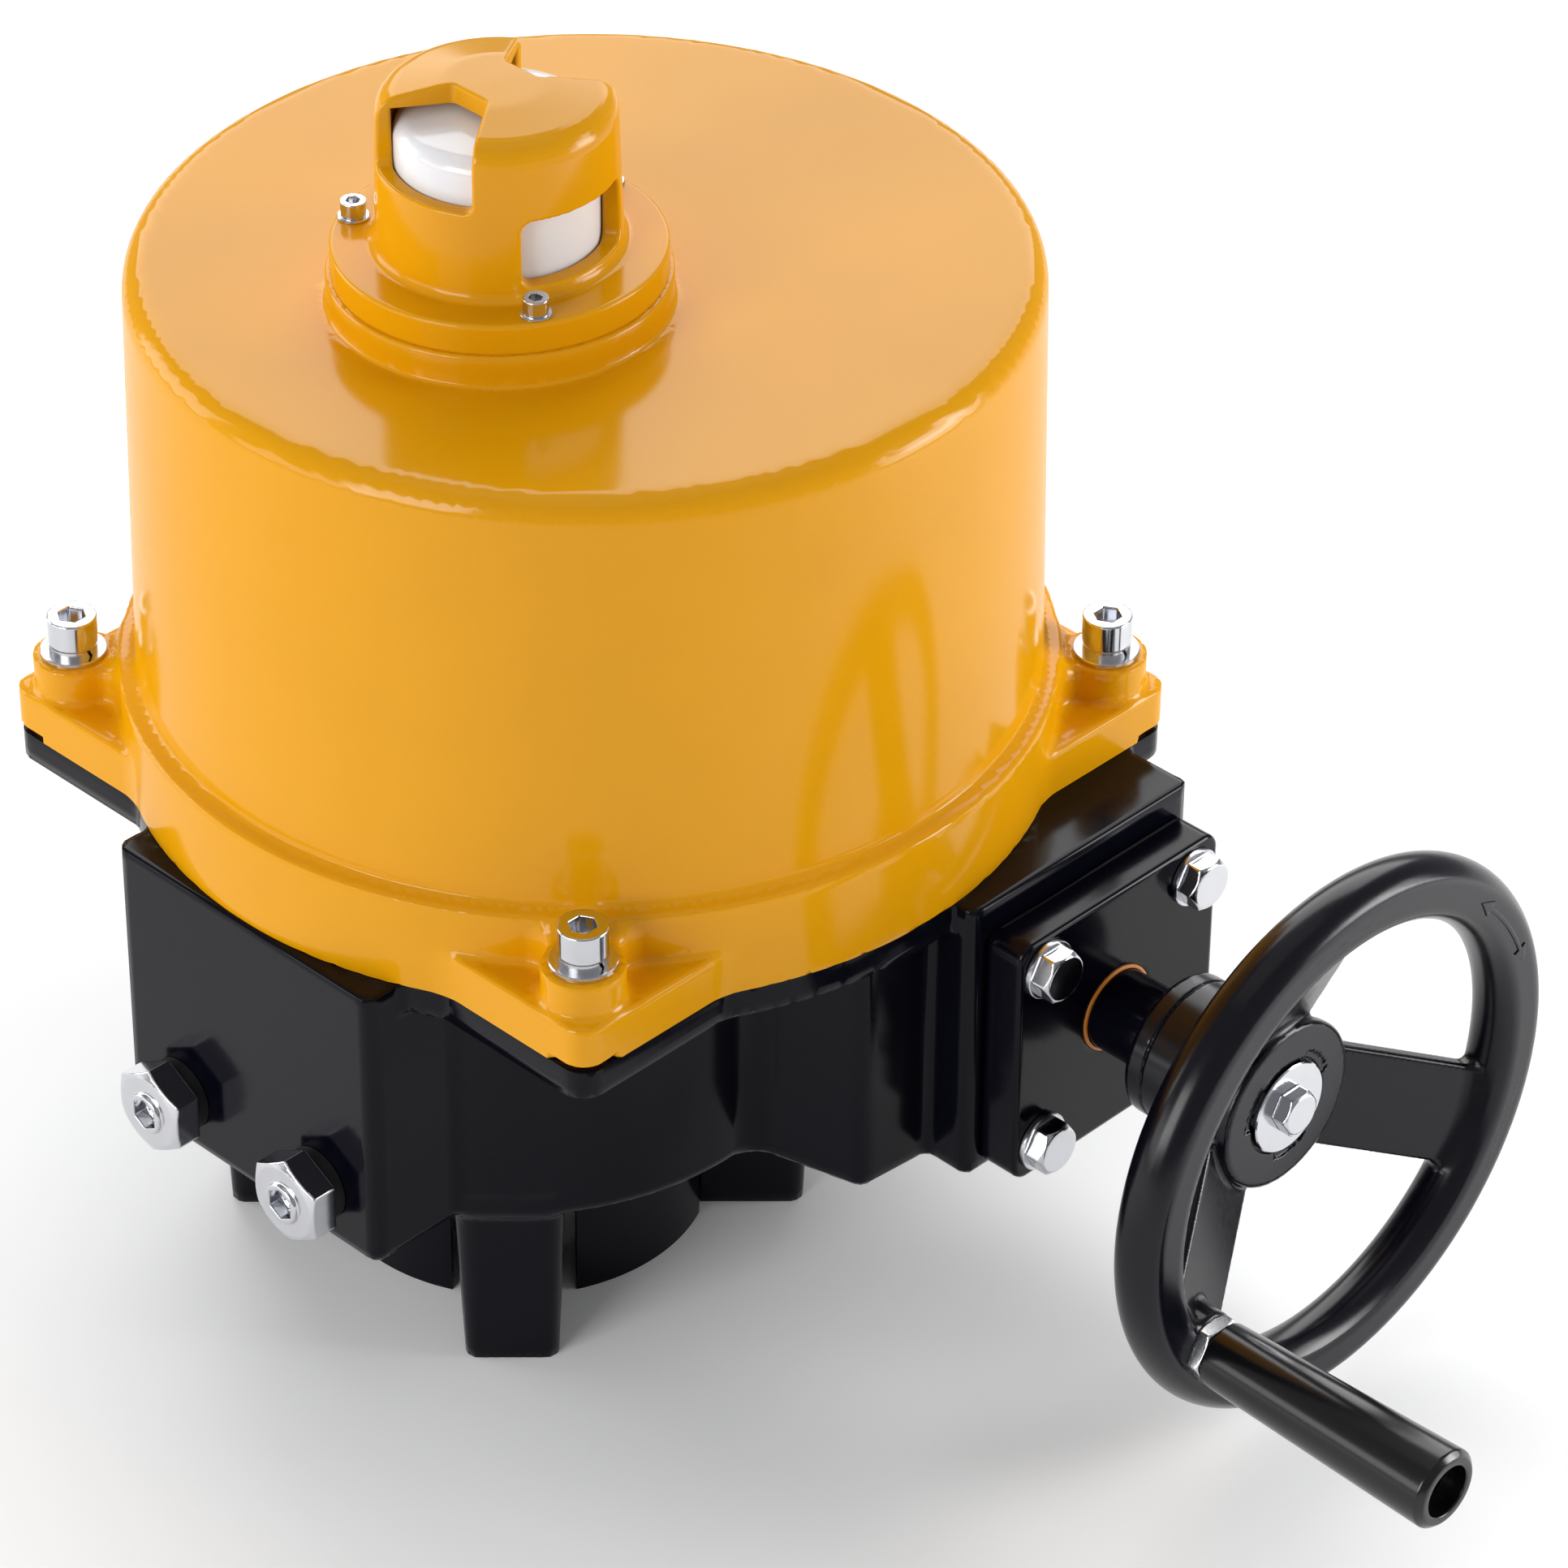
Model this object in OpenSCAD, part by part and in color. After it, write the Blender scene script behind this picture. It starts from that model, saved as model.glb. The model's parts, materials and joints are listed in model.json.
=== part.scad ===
// Electric quarter-turn valve actuator with handwheel
// Origin: output axis at the valve mounting face, +Z up, handwheel towards +X, cable entries towards -Y

/* [Mounting to the valve] */
// Pitch circle of the four mounting threads
mount_pcd = 140; // [132:1:150]
// Tapping diameter of a mounting thread
mount_tap_d = 14; // [10:0.5:16]
// Depth of a mounting thread
mount_depth = 30; // [15:1:45]
// Distance from the output axis to the outer face of a post
post_outer = 94.5; // [88:0.5:97]
// Distance from the output axis to the inner face of a post
post_inner = 56; // [50:0.5:58]
// Width of a post at the mounting face
post_foot_w = 30; // [26:0.5:34]
// Width of a post where it meets the housing
post_root_w = 35; // [30:0.5:38]
// Height of the posts and of the skirt between them
post_h = 60; // [45:1:80]
// Outer radius of the skirt
skirt_r = 63.5; // [60:0.5:68]
// Wall of the skirt
skirt_wall = 9; // [5:0.5:10]
// Gap between a post and the skirt beside it
skirt_gap = 5; // [3:0.5:8]

/* [Base housing] */
// Height of the base from its underside to the parting plane
base_h = 105; // [100:1:115]
// Thickness of the housing floor
floor_t = 12; // [8:1:16]
// Outer radius of the wheel chamber wall
drum_r = 99; // [96:0.5:104]
// Radius of the wheel chamber
chamber_r = 88; // [86.5:0.5:90]
// Thickness of the base flange under the cover
flange_t = 10; // [8:0.5:14]
// Half width of the cable entry box
entry_half_w = 58; // [50:1:62]
// Distance from the output axis to the cable entry face
entry_face = 115.5; // [112:0.5:122]
// Wall of the cable entry box
entry_wall = 8; // [6:0.5:10]
// Distance from the output axis to the face that carries the end plate
block_face = 157.5; // [150:0.5:170]
// Distance from the output axis to the front side of that block
block_front = 47.5; // [44:0.5:52]
// Distance from the output axis to the back of the worm housing
worm_back = 148; // [148:0.5:156]
// Distance from the output axis to the closed end of the worm housing
worm_end = 104; // [102:0.5:112]
// Distance from the output axis to the outer side of the worm housing
worm_side = 140; // [134:0.5:146]

/* [Cover] */
// Radius of the rim where cover and base meet
rim_r = 150; // [148:0.5:156]
// Distance from the output axis back to the cover axis
cover_offset = 36; // [32:0.5:40]
// Half width of the square that forms the four ears
ear_half = 131.7; // [129:0.1:134]
// Corner radius of the ears
ear_corner = 8; // [4:0.5:12]
// Height of the ear plates
ear_h = 16; // [12:0.5:20]
// Height of the thick lower rim
rim_h = 32.5; // [29:0.5:38]
// Height of the sloped ledge above the rim
ledge_h = 2; // [1:0.5:4]
// Step from the rim in to the cover's side, at the ledge
rim_step = 5.5; // [4:0.5:7]
// Taper of the cover's side, from the ledge to the rounded top edge
cover_taper = 2.5; // [1.5:0.5:3]
// Height of the cover from the parting plane to its flat top
cover_h = 176.5; // [170:0.5:200]
// Radius of the rounded top edge
cover_edge_r = 8; // [4:0.5:12]
// Wall of the cover at its top
cover_wall = 3.5; // [3:0.5:4.5]
// Thickness of the cover's top
cover_top_t = 5.5; // [4:0.5:8]
// Distance of a cover screw from the cover axis, along each side
screw_pos = 116.5; // [114:0.5:118]
// Height of a screw boss above the parting plane
boss_h = 28; // [24:0.5:32]
// Radius of a screw boss
boss_r = 13; // [11:0.5:14]
// Height of the relief under the ear corners
relief_h = 2.6; // [1.5:0.1:4]
// From a cover screw out to that relief, along the diagonal
relief_in = 10.4; // [8:0.2:12]
// Thread diameter of the cover screws
cover_screw_d = 10; // [8:1:10]

/* [Indicator] */
// Radius of the boss on top of the cover
ind_boss_r = 53; // [52:0.5:58]
// Height of that boss
ind_boss_h = 10.5; // [8:0.5:14]
// Radius of the indicator cap's flange
cap_flange_r = 51.5; // [51.5:0.5:52]
// Thickness of the cap's flange
cap_flange_t = 10; // [8:0.5:14]
// Pitch radius of the cap screws
cap_screw_r = 46; // [45.5:0.5:46.5]
// Thread diameter of the cap screws
cap_screw_d = 5; // [4:1:5]
// Radius of the cap above its foot
cap_r = 37.6; // [37:0.1:38]
// Radius of the cap's flared foot
cap_foot_r = 40.4; // [39.5:0.1:41]
// Height of the cap above its flange
cap_h = 55; // [50:0.5:62]
// Wall of the cap
cap_wall = 4.6; // [3.5:0.1:5]
// Half angle of an upper window
window_up_angle = 34.5; // [28:0.5:38]
// Half angle of a lower window
window_low_angle = 33; // [26:0.5:36]
// Height of the windows' dividing line above the flange
window_split = 27.5; // [24:0.5:30]
// Radius of the indicator drum
drum_ind_r = 27; // [20:0.5:28]

/* [Worm gear] */
// Module of worm and wheel
worm_module = 4; // [4:0.1:4]
// Teeth of the worm wheel
wheel_teeth = 40; // [40:1:40]
// Pitch diameter of the worm
worm_pitch_d = 40; // [40:0.5:42]
// Face width of the wheel
wheel_w = 30; // [24:1:34]
// Height of the worm axis above the mounting face
worm_z = 108.5; // [107:0.5:111]
// Play between the flanks at the pitch line, each side
flank_play = 0.6; // [0.4:0.05:0.9]
// Turns of worm thread
worm_turns = 4; // [4:1:5]
// Outer radius of the hollow output shaft
out_r = 36; // [34:0.5:36]
// Radius of the bore that takes the valve stem
stem_r = 22.5; // [18:0.5:23]
// Width of the keyway in that bore
stem_key_w = 14; // [10:1:14]

/* [Spur gears and motor] */
// Module of the spur gears
spur_module = 2; // [2:0.1:2]
// Teeth of the gear on the worm shaft
shaft_gear_teeth = 38; // [38:1:38]
// Teeth of the idler's small gear
idler_small_teeth = 32; // [32:1:32]
// Teeth of the idler's large gear
idler_large_teeth = 42; // [42:1:42]
// Teeth of the motor pinion
pinion_teeth = 16; // [16:1:16]
// Face width of a spur gear
spur_w = 9; // [7:0.5:9]
// Play between spur gear flanks, each side
spur_play = 0.2; // [0.15:0.05:0.3]
// Radius of the motor
motor_r = 42; // [36:1:44]
// Length of the motor can
motor_len = 102; // [80:1:110]

/* [Handwheel drive] */
// Side of the square end plate
plate_side = 92; // [88:0.5:92]
// Thickness of the end plate
plate_t = 14; // [10:0.5:18]
// Distance of an end plate bolt from the worm axis, along each side
plate_bolt_pos = 34.2; // [33:0.1:36]
// Thread diameter of the end plate bolts
plate_bolt_d = 10; // [8:1:10]
// Radius of the black sleeve on the worm shaft
sleeve_r = 13.9; // [13:0.1:15]
// Distance from the output axis to the back of the handwheel hub
hub_back = 197; // [190:0.5:210]
// Length of the handwheel hub
hub_len = 47; // [42:0.5:52]
// Radius of the handwheel hub
hub_r = 24.5; // [22:0.5:27]
// Radius of the disc on the front of the hub
hub_disc_r = 29; // [27:0.5:32]
// Distance from the hub's back to the middle of the rim
rim_dish = 65; // [60:0.5:70]
// Radius of the middle of the handwheel rim
wheel_mid_r = 84.5; // [80:0.5:90]
// Radius of the rim's section
wheel_rim_r = 10.5; // [9:0.5:11]
// Width of a spoke
spoke_w = 34; // [28:0.5:36]
// Thickness of a spoke
spoke_t = 7; // [5:0.5:9]
// Direction of the first spoke, from +Y towards +Z
spoke_turn = -25; // [-60:1:60]
// Distance of the crank from the handwheel axis
crank_r = 77; // [75:0.5:80]
// Length of the crank grip
grip_len = 90; // [70:1:110]
// Radius of the crank grip at its foot
grip_foot_r = 11; // [10:0.5:12]
// Radius of the crank grip at its end
grip_end_r = 13.5; // [12:0.5:15]

/* [Cable entries] */
// Distance of a cable entry from the middle
entry_x = 32; // [26:0.5:36]
// Height of the cable entries above the mounting face
entry_z = 81; // [79:0.5:100]
// Thread diameter of a cable entry
entry_d = 20; // [16:1:20]
// Width across flats of a plug
plug_flats = 27; // [24:0.5:30]
// Thickness of a plug's hexagon
plug_hex_t = 10; // [7:0.5:13]
// Thickness of the seal behind a plug
plug_seal_t = 5; // [2:0.5:6]

/* [Hidden] */
$fn = 96;
// Overshoot of every cut through a face
cut = 1;
// Clearance round a shaft in its bore
fit = 0.05;
// Clearance between pieces seated loosely
loose = 0.3;

// Heights of the housing
parting_z = post_h + base_h;
floor_z = post_h + floor_t;
cover_top_z = parting_z + cover_h;
ind_z = cover_top_z + ind_boss_h;
cap_z = ind_z + cap_flange_t;
cap_top_z = cap_z + cap_h;

// Radii of the cover, from the rim inwards
cover_low_r = rim_r - rim_step;
cover_top_r = cover_low_r - cover_taper;
cover_inner_r = cover_top_r - cover_wall;

// Worm gear
wheel_pitch_r = worm_module * wheel_teeth / 2;
worm_pitch_r = worm_pitch_d / 2;
worm_y = wheel_pitch_r + worm_pitch_r;
worm_lead = PI * worm_module;
worm_tip_r = worm_pitch_r + worm_module;
worm_root_r = worm_pitch_r - 1.2 * worm_module;
wheel_tip_r = wheel_pitch_r + worm_module;
wheel_root_r = wheel_pitch_r - 1.2 * worm_module;
lead_angle = atan(worm_lead / (PI * worm_pitch_d));
worm_len = worm_turns * worm_lead;
worm_bore_r = worm_tip_r + 4;
wheel_z0 = worm_z - wheel_w / 2;
wheel_z1 = worm_z + wheel_w / 2;

// Output shaft and its bearings
bush_wall = 5;
hub_wall = 10;
hub_bore_r = out_r + fit + bush_wall;
hub_outer_r = hub_bore_r + hub_wall;
thrust_t = 3;
hub_top_z = wheel_z0 - thrust_t;
hub_low_z = post_h - 14;
out_low_z = post_h - 38;
collar_t = 6;
out_top_z = parting_z - 5;
bush_seat_r = out_r - 8;
stop_top_z = out_low_z + 62;
ring_t = 2;
ring_z = out_low_z + 2.5;
drive_bush_z = ring_z + ring_t + fit;
shaft_hollow_r = bush_seat_r - 4;
seal_t = 8;
seal_r = hub_bore_r + 3;
key_w = 10;
key_h = 8;
bush_key_w = 8;
bush_key_h = 4.6;

// Gear cover
gear_cover_t = 8;
gear_cover_r = chamber_r + 10;
gear_cover_z = parting_z + gear_cover_t;
gear_cover_screw_r = chamber_r + 5;
upper_bush_z = parting_z - 15;
pocket_wall = 4;

// Worm shaft stations along X
bearing_in_r = 10;
bearing_in_outer_r = 23.5;
bearing_in_t = 14;
bearing_out_r = 15;
bearing_out_outer_r = 31;
bearing_out_t = 16;
web_x0 = -44;
web_t = 20;
web_x1 = web_x0 - web_t;
bearing_in_x = web_x0 - bearing_in_t - 3;
bearing_out_x = block_face - 27.5;
bearing_out_end = bearing_out_x + bearing_out_t;
worm_seat_r = 11;
shaft_shoulder_r = 13.5;
shaft_nose_r = 10;
shaft_tail_r = 9;

// Spur gear train
gear_plane_a = web_x1 - 28;
gear_plane_b = gear_plane_a + spur_w + 2;
gearbox_x = web_x1 - 32;
gearbox_y0 = worm_y - 43;
gearbox_y1 = worm_y + 43;
idler_z = worm_z + spur_module * (shaft_gear_teeth + idler_small_teeth) / 2;
motor_z = idler_z + spur_module * (idler_large_teeth + pinion_teeth) / 2;
bracket_t = 6;
bracket_x = web_x1;
bracket_half_w = 32;
bracket_foot = 26;
axle_r = 6;
motor_shaft_r = 6;
bell_t = 8;
motor_x0 = bracket_x + bracket_t + bell_t;
motor_x1 = motor_x0 + motor_len;
motor_wall = 4;

// Cover screws
cover_head_h = cover_screw_d;
cover_head_r = cover_screw_d * 0.8;
flat_washer_t = 2;
lock_washer_t = 2.5;
cover_head_z = parting_z + boss_h + flat_washer_t + lock_washer_t;

// End plate and handwheel
gasket_t = 0.8;
gasket_inset = 0.7;
plate_x0 = block_face + gasket_t;
plate_x1 = plate_x0 + plate_t;
plate_washer_t = 2;
seal_ring_w = 1.3;
seal_ring_t = 8;
hub_front = hub_back + hub_len;
hub_disc_t = 6;
hub_recess = 2;
hub_recess_r = 20;
hub_washer_r = 15.8;
hub_washer_t = 3.1;
hub_bolt_d = 8;
spoke_rise = 33;
spoke_root = 4;
rim_x = hub_back + rim_dish;
crank_angle = spoke_turn - 120;
crank_y = worm_y + crank_r * cos(crank_angle);
crank_z = worm_z + crank_r * sin(crank_angle);
crank_boss_r = 11.2;
crank_boss_x = rim_x + wheel_rim_r - 2.5;
crank_nut_t = 5;
crank_nut_r = 11.5;
grip_x = crank_boss_x + crank_nut_t + loose;
grip_bore_r = 5;
spindle_r = 4.9;
grip_recess = 14;

// Corner arc of a rounded outline, as points
function unit(v) = v / norm(v);
function arc_points(a, b, c, r, n) =
    let (u = unit(a - b), w = unit(c - b), half = acos(u * w) / 2)
    let (centre = b + unit(u + w) * r / sin(half))
    let (p0 = b + u * r / tan(half) - centre, p1 = b + w * r / tan(half) - centre)
    let (a0 = atan2(p0.y, p0.x), turn = (atan2(p1.y, p1.x) - a0 + 540) % 360 - 180)
    [for (i = [0:n]) centre + r * [cos(a0 + turn * i / n), sin(a0 + turn * i / n)]];
function rounded(points, r, n = 5) = let (last = len(points))
    [for (i = [0:last - 1])
        each arc_points(points[(i + last - 1) % last], points[i], points[(i + 1) % last], r, n)];

module rounded_square(w, d, r) {
    square([w - 2 * r, d], center = true);
    square([w, d - 2 * r], center = true);
    for (x = [-1, 1], y = [-1, 1])
        translate([x * (w / 2 - r), y * (d / 2 - r)]) circle(r);
}

module ring(r1, r0, h) {
    difference() {
        cylinder(r = r1, h = h);
        translate([0, 0, -cut]) cylinder(r = r0, h = h + 2 * cut);
    }
}

// Children drawn along Z are turned to lie along X, starting at x on the worm axis plane
module along_x(x, y = worm_y, z = worm_z) {
    translate([x, y, z]) rotate([0, 90, 0]) children();
}

module at_cover_corners(pos) {
    for (x = [-1, 1], y = [-1, 1])
        translate([x * pos, cover_offset + y * pos, 0]) children();
}

module at_plate_corners(x) {
    for (y = [-1, 1], z = [-1, 1])
        along_x(x, worm_y + y * plate_bolt_pos, worm_z + z * plate_bolt_pos) children();
}

module at_posts() {
    for (turn = [45:90:315]) rotate([0, 0, turn]) children();
}

// Socket head screw: the head stands on z = 0, the shank hangs below
module cap_screw(d, len) {
    difference() {
        union() {
            cylinder(r = 0.8 * d, h = d);
            translate([0, 0, -len]) cylinder(d = d, h = len + cut);
        }
        translate([0, 0, d * 0.45]) cylinder(r = 0.46 * d, h = d, $fn = 6);
    }
}

// Hexagon head bolt: the head stands on z = 0, the shank hangs below
module hex_bolt(d, len, flats) {
    intersection() {
        cylinder(r = flats / sqrt(3), h = 0.65 * d, $fn = 6);
        union() {
            cylinder(r = flats / sqrt(3), h = 0.45 * d);
            translate([0, 0, 0.45 * d])
                cylinder(r1 = flats / sqrt(3), r2 = flats * 0.47, h = 0.2 * d);
        }
    }
    translate([0, 0, -len]) cylinder(d = d, h = len + 0.2 * d);
}

// Spur gear with straight-flanked teeth, one tooth on +X when phase is zero
module spur_outline(teeth, phase) {
    r = spur_module * teeth / 2;
    root = r - 1.25 * spur_module;
    tip = r + 0.95 * spur_module;
    half = PI * spur_module / 4 - spur_play;
    circle(r = root);
    for (i = [0:teeth - 1])
        rotate(phase + i * 360 / teeth)
            polygon([[root - 0.5, -half - 0.75], [tip, -half + 0.75], [tip, half - 0.75],
                [root - 0.5, half + 0.75]]);
}

module flange_outline() {
    translate([0, cover_offset]) {
        circle(r = rim_r);
        rounded_square(2 * ear_half, 2 * ear_half, ear_corner);
    }
}

module post() {
    depth = post_outer - post_inner;
    mid = (post_outer + post_inner) / 2;
    lean = (post_root_w - post_foot_w) / 2;
    intersection() {
        linear_extrude(post_h + cut)
            translate([mid, 0]) rounded_square(depth + 2 * lean, post_root_w, 5);
        translate([post_inner - lean - cut, 0, 0]) rotate([90, 0, 90])
            linear_extrude(depth + 2 * lean + 2 * cut)
                polygon([[-post_foot_w / 2, 0], [post_foot_w / 2, 0],
                    [post_root_w / 2, post_h + cut], [-post_root_w / 2, post_h + cut]]);
        rotate([90, 0, 0]) linear_extrude(post_root_w + cut, center = true)
            polygon([[post_inner, 0], [post_outer, 0], [post_outer + lean, post_h + cut],
                [post_inner - lean, post_h + cut]]);
    }
}

module skirt() {
    slot = post_foot_w + 2 * skirt_gap;
    difference() {
        ring(skirt_r, skirt_r - skirt_wall, post_h + cut);
        at_posts() translate([skirt_r - 2 * skirt_wall, -slot / 2, -cut])
            cube([3 * skirt_wall, slot, post_h + cut]);
    }
}

module worm_housing_outline() {
    polygon(rounded([[-60, 0], [95, 9], [worm_side - 2, 20], [worm_side + 1, block_front],
        [block_face, block_front], [block_face, worm_back], [-worm_end, worm_back],
        [-worm_end, 36]], 5));
}

module end_block_outline() {
    polygon(rounded([[worm_side - 30, block_front], [block_face, block_front],
        [block_face, worm_back], [worm_side - 30, worm_back]], 4));
}

module entry_outline() {
    polygon(rounded([[-entry_half_w, -entry_face], [entry_half_w, -entry_face],
        [entry_half_w, 0], [-entry_half_w, 0]], 6));
}

entry_floor_t = 8;
gear_screw_d = 6;
gear_screw_len = 20;
bracket_screw_len = 18;
deck_hole_depth = gear_screw_len - gear_cover_t + 2;

module entry_pocket() {
    inner_x = entry_half_w - entry_wall;
    difference() {
        union() {
            translate([-inner_x, -entry_face + entry_wall, post_h + entry_floor_t])
                cube([2 * inner_x, entry_face - entry_wall, base_h - flange_t - 14]);
            intersection() {
                translate([-inner_x, -entry_face, parting_z - flange_t - 10])
                    cube([2 * inner_x, entry_face, flange_t + 10 + cut]);
                translate([0, cover_offset, 0]) cylinder(r = cover_inner_r, h = parting_z + cut);
            }
        }
        cylinder(r = chamber_r + pocket_wall, h = parting_z + 2 * cut);
    }
}

// Place of the cast stop blocks and of the lug that meets them, in the wheel chamber
stop_r0 = 58;
stop_r1 = 74;
lug_half = 9;
stop_margin = 2;

module stop_sector(a0, a1) {
    r = stop_r1 / cos((a1 - a0) / 2);
    intersection() {
        difference() {
            circle(r = stop_r1);
            circle(r = stop_r0);
        }
        polygon([[0, 0], r * [cos(a0), sin(a0)], r * [cos((a0 + a1) / 2), sin((a0 + a1) / 2)],
            r * [cos(a1), sin(a1)]]);
    }
}

module base_housing() {
    color([0.07, 0.07, 0.08]) difference() {
        union() {
            translate([0, 0, parting_z - flange_t]) linear_extrude(flange_t) flange_outline();
            translate([0, 0, post_h]) cylinder(r = drum_r, h = base_h - cut);
            translate([0, 0, post_h]) linear_extrude(base_h - flange_t) worm_housing_outline();
            translate([0, 0, post_h]) linear_extrude(base_h) end_block_outline();
            translate([0, 0, post_h]) linear_extrude(base_h) entry_outline();
            at_posts() post();
            skirt();
            translate([0, 0, hub_low_z]) cylinder(r = hub_outer_r, h = post_h - hub_low_z + cut);
        }
        difference() {
            translate([0, 0, floor_z]) cylinder(r = chamber_r, h = base_h);
            translate([0, 0, floor_z - cut])
                cylinder(r = hub_outer_r, h = hub_top_z - floor_z + cut);
            translate([0, 0, floor_z - cut]) linear_extrude(wheel_z0 - 2 - floor_z + cut) {
                stop_sector(270 + lug_half + 90 + stop_margin, 270 + lug_half + 110 + stop_margin);
                stop_sector(270 - lug_half - 20 - stop_margin, 270 - lug_half - stop_margin);
            }
        }
        translate([0, 0, hub_low_z - cut]) cylinder(r = hub_bore_r, h = base_h);
        translate([0, 0, hub_low_z - cut]) cylinder(r = seal_r, h = seal_t + cut);
        along_x(web_x0) cylinder(r = worm_bore_r, h = block_face - web_x0 + cut);
        along_x(web_x1 - cut) cylinder(r = bearing_in_outer_r + fit, h = web_t + 2 * cut);
        along_x(bearing_out_x)
            cylinder(r = bearing_out_outer_r + fit, h = block_face - bearing_out_x + cut);
        translate([gearbox_x, gearbox_y0, floor_z - 4])
            cube([web_x1 - gearbox_x, gearbox_y1 - gearbox_y0, base_h]);
        entry_pocket();
        for (x = [-1, 1])
            translate([x * entry_x, -entry_face - cut, entry_z]) rotate([-90, 0, 0])
                cylinder(d = entry_d + 2 * fit, h = entry_wall + 2 * cut);
        at_posts() translate([mount_pcd / 2, 0, -cut]) cylinder(d = mount_tap_d, h = mount_depth + cut);
        at_cover_corners(screw_pos) translate([0, 0, parting_z - flange_t - cut])
            cylinder(d = cover_screw_d + 2 * fit, h = flange_t + 2 * cut);
        at_plate_corners(block_face - 20) cylinder(d = plate_bolt_d + 2 * fit, h = 20 + cut);
        at_gear_cover_screws() translate([0, 0, parting_z - deck_hole_depth])
            cylinder(d = gear_screw_d + 2 * fit, h = deck_hole_depth + cut);
        at_bracket_screws() translate([0, 0, parting_z - deck_hole_depth])
            cylinder(d = gear_screw_d + 2 * fit, h = deck_hole_depth + cut);
        translate([0, cover_offset, parting_z - 2 * seal_cord_r])
            ring(seal_mid_r + seal_cord_r + 0.2, seal_mid_r - seal_cord_r - 0.2, 3 * seal_cord_r);
    }
}

seal_mid_r = (rim_r + cover_inner_r) / 2;
seal_cord_r = 1.6;
boss_face_h = 1;

// The gap that lets a lever lift the cover off the base, under each ear corner
module corner_reliefs() {
    reach = (ear_half - screw_pos) * sqrt(2);
    translate([0, cover_offset, parting_z - cut]) at_posts()
        translate([screw_pos * sqrt(2) + relief_in, -reach, 0]) cube([reach, 2 * reach, relief_h + cut]);
}

module cover_outer_profile() {
    polygon([[0, parting_z], [rim_r, parting_z], [rim_r, parting_z + rim_h],
        [cover_low_r, parting_z + rim_h + ledge_h], [cover_top_r, cover_top_z - cover_edge_r],
        [cover_top_r - cover_edge_r, cover_top_z], [0, cover_top_z]]);
    translate([cover_top_r - cover_edge_r, cover_top_z - cover_edge_r]) circle(r = cover_edge_r);
}

module cover_inner_profile() {
    inner_top = cover_top_z - cover_top_t;
    edge = cover_edge_r / 2;
    polygon([[0, parting_z - cut], [cover_inner_r, parting_z - cut], [cover_inner_r, inner_top - edge],
        [cover_inner_r - edge, inner_top], [0, inner_top]]);
    translate([cover_inner_r - edge, inner_top - edge]) circle(r = edge);
}

module cover() {
    web_in = cover_inner_r + 4;
    web_out = screw_pos * sqrt(2);
    color([0.96, 0.68, 0.12]) difference() {
        union() {
            translate([0, cover_offset, 0]) rotate_extrude($fn = 180) cover_outer_profile();
            translate([0, cover_offset, parting_z]) linear_extrude(ear_h)
                rounded_square(2 * ear_half, 2 * ear_half, ear_corner);
            at_cover_corners(screw_pos) translate([0, 0, parting_z]) cylinder(r = boss_r, h = boss_h);
            translate([0, cover_offset, parting_z]) at_posts() linear_extrude(boss_h - boss_face_h)
                polygon([[web_in, -2 * boss_r], [web_in + 9, -1.6 * boss_r], [web_in + 14, -boss_r],
                    [web_out, -boss_r * 0.85], [web_out, boss_r * 0.85], [web_in + 14, boss_r],
                    [web_in + 9, 1.6 * boss_r], [web_in, 2 * boss_r]]);
            translate([0, 0, cover_top_z - cut]) cylinder(r = ind_boss_r, h = ind_boss_h + cut);
        }
        translate([0, cover_offset, 0]) rotate_extrude($fn = 180) cover_inner_profile();
        corner_reliefs();
        at_cover_corners(screw_pos) translate([0, 0, parting_z - cut])
            cylinder(r = cover_screw_d / 2 + 0.5, h = boss_h + 2 * cut);
        translate([0, 0, cover_top_z - cover_top_t - cut])
            cylinder(r = ind_bush_r + fit, h = cover_top_t + ind_boss_h + 2 * cut);
        at_cap_screws() translate([0, 0, ind_z - 9]) cylinder(d = cap_screw_d + 2 * fit, h = 9 + cut);
        translate([0, 0, ind_z - 2 * cap_cord_r])
            ring(cap_seal_r + cap_cord_r + 0.2, cap_seal_r - cap_cord_r - 0.2, 3);
    }
}

module cover_seal() {
    color([0.05, 0.05, 0.05]) translate([0, cover_offset, parting_z - seal_cord_r])
        rotate_extrude($fn = 180) translate([seal_mid_r, 0]) circle(r = seal_cord_r, $fn = 32);
}

module cover_screws() {
    color([0.8, 0.81, 0.83]) at_cover_corners(screw_pos) translate([0, 0, cover_head_z])
        cap_screw(cover_screw_d, cover_head_z - parting_z + flange_t - 1);
}

module cover_lock_washers() {
    color([0.72, 0.73, 0.75]) at_cover_corners(screw_pos)
        translate([0, 0, cover_head_z - lock_washer_t]) difference() {
            ring(cover_head_r, cover_screw_d / 2 + fit, lock_washer_t);
            rotate([25, 0, 30]) translate([0, -0.6, -lock_washer_t])
                cube([2 * cover_head_r, 1.2, 4 * lock_washer_t]);
        }
}

module cover_flat_washers() {
    color([0.75, 0.76, 0.78]) at_cover_corners(screw_pos) translate([0, 0, parting_z + boss_h])
        ring(cover_screw_d * 1.07, cover_screw_d / 2 + fit, flat_washer_t);
}

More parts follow.
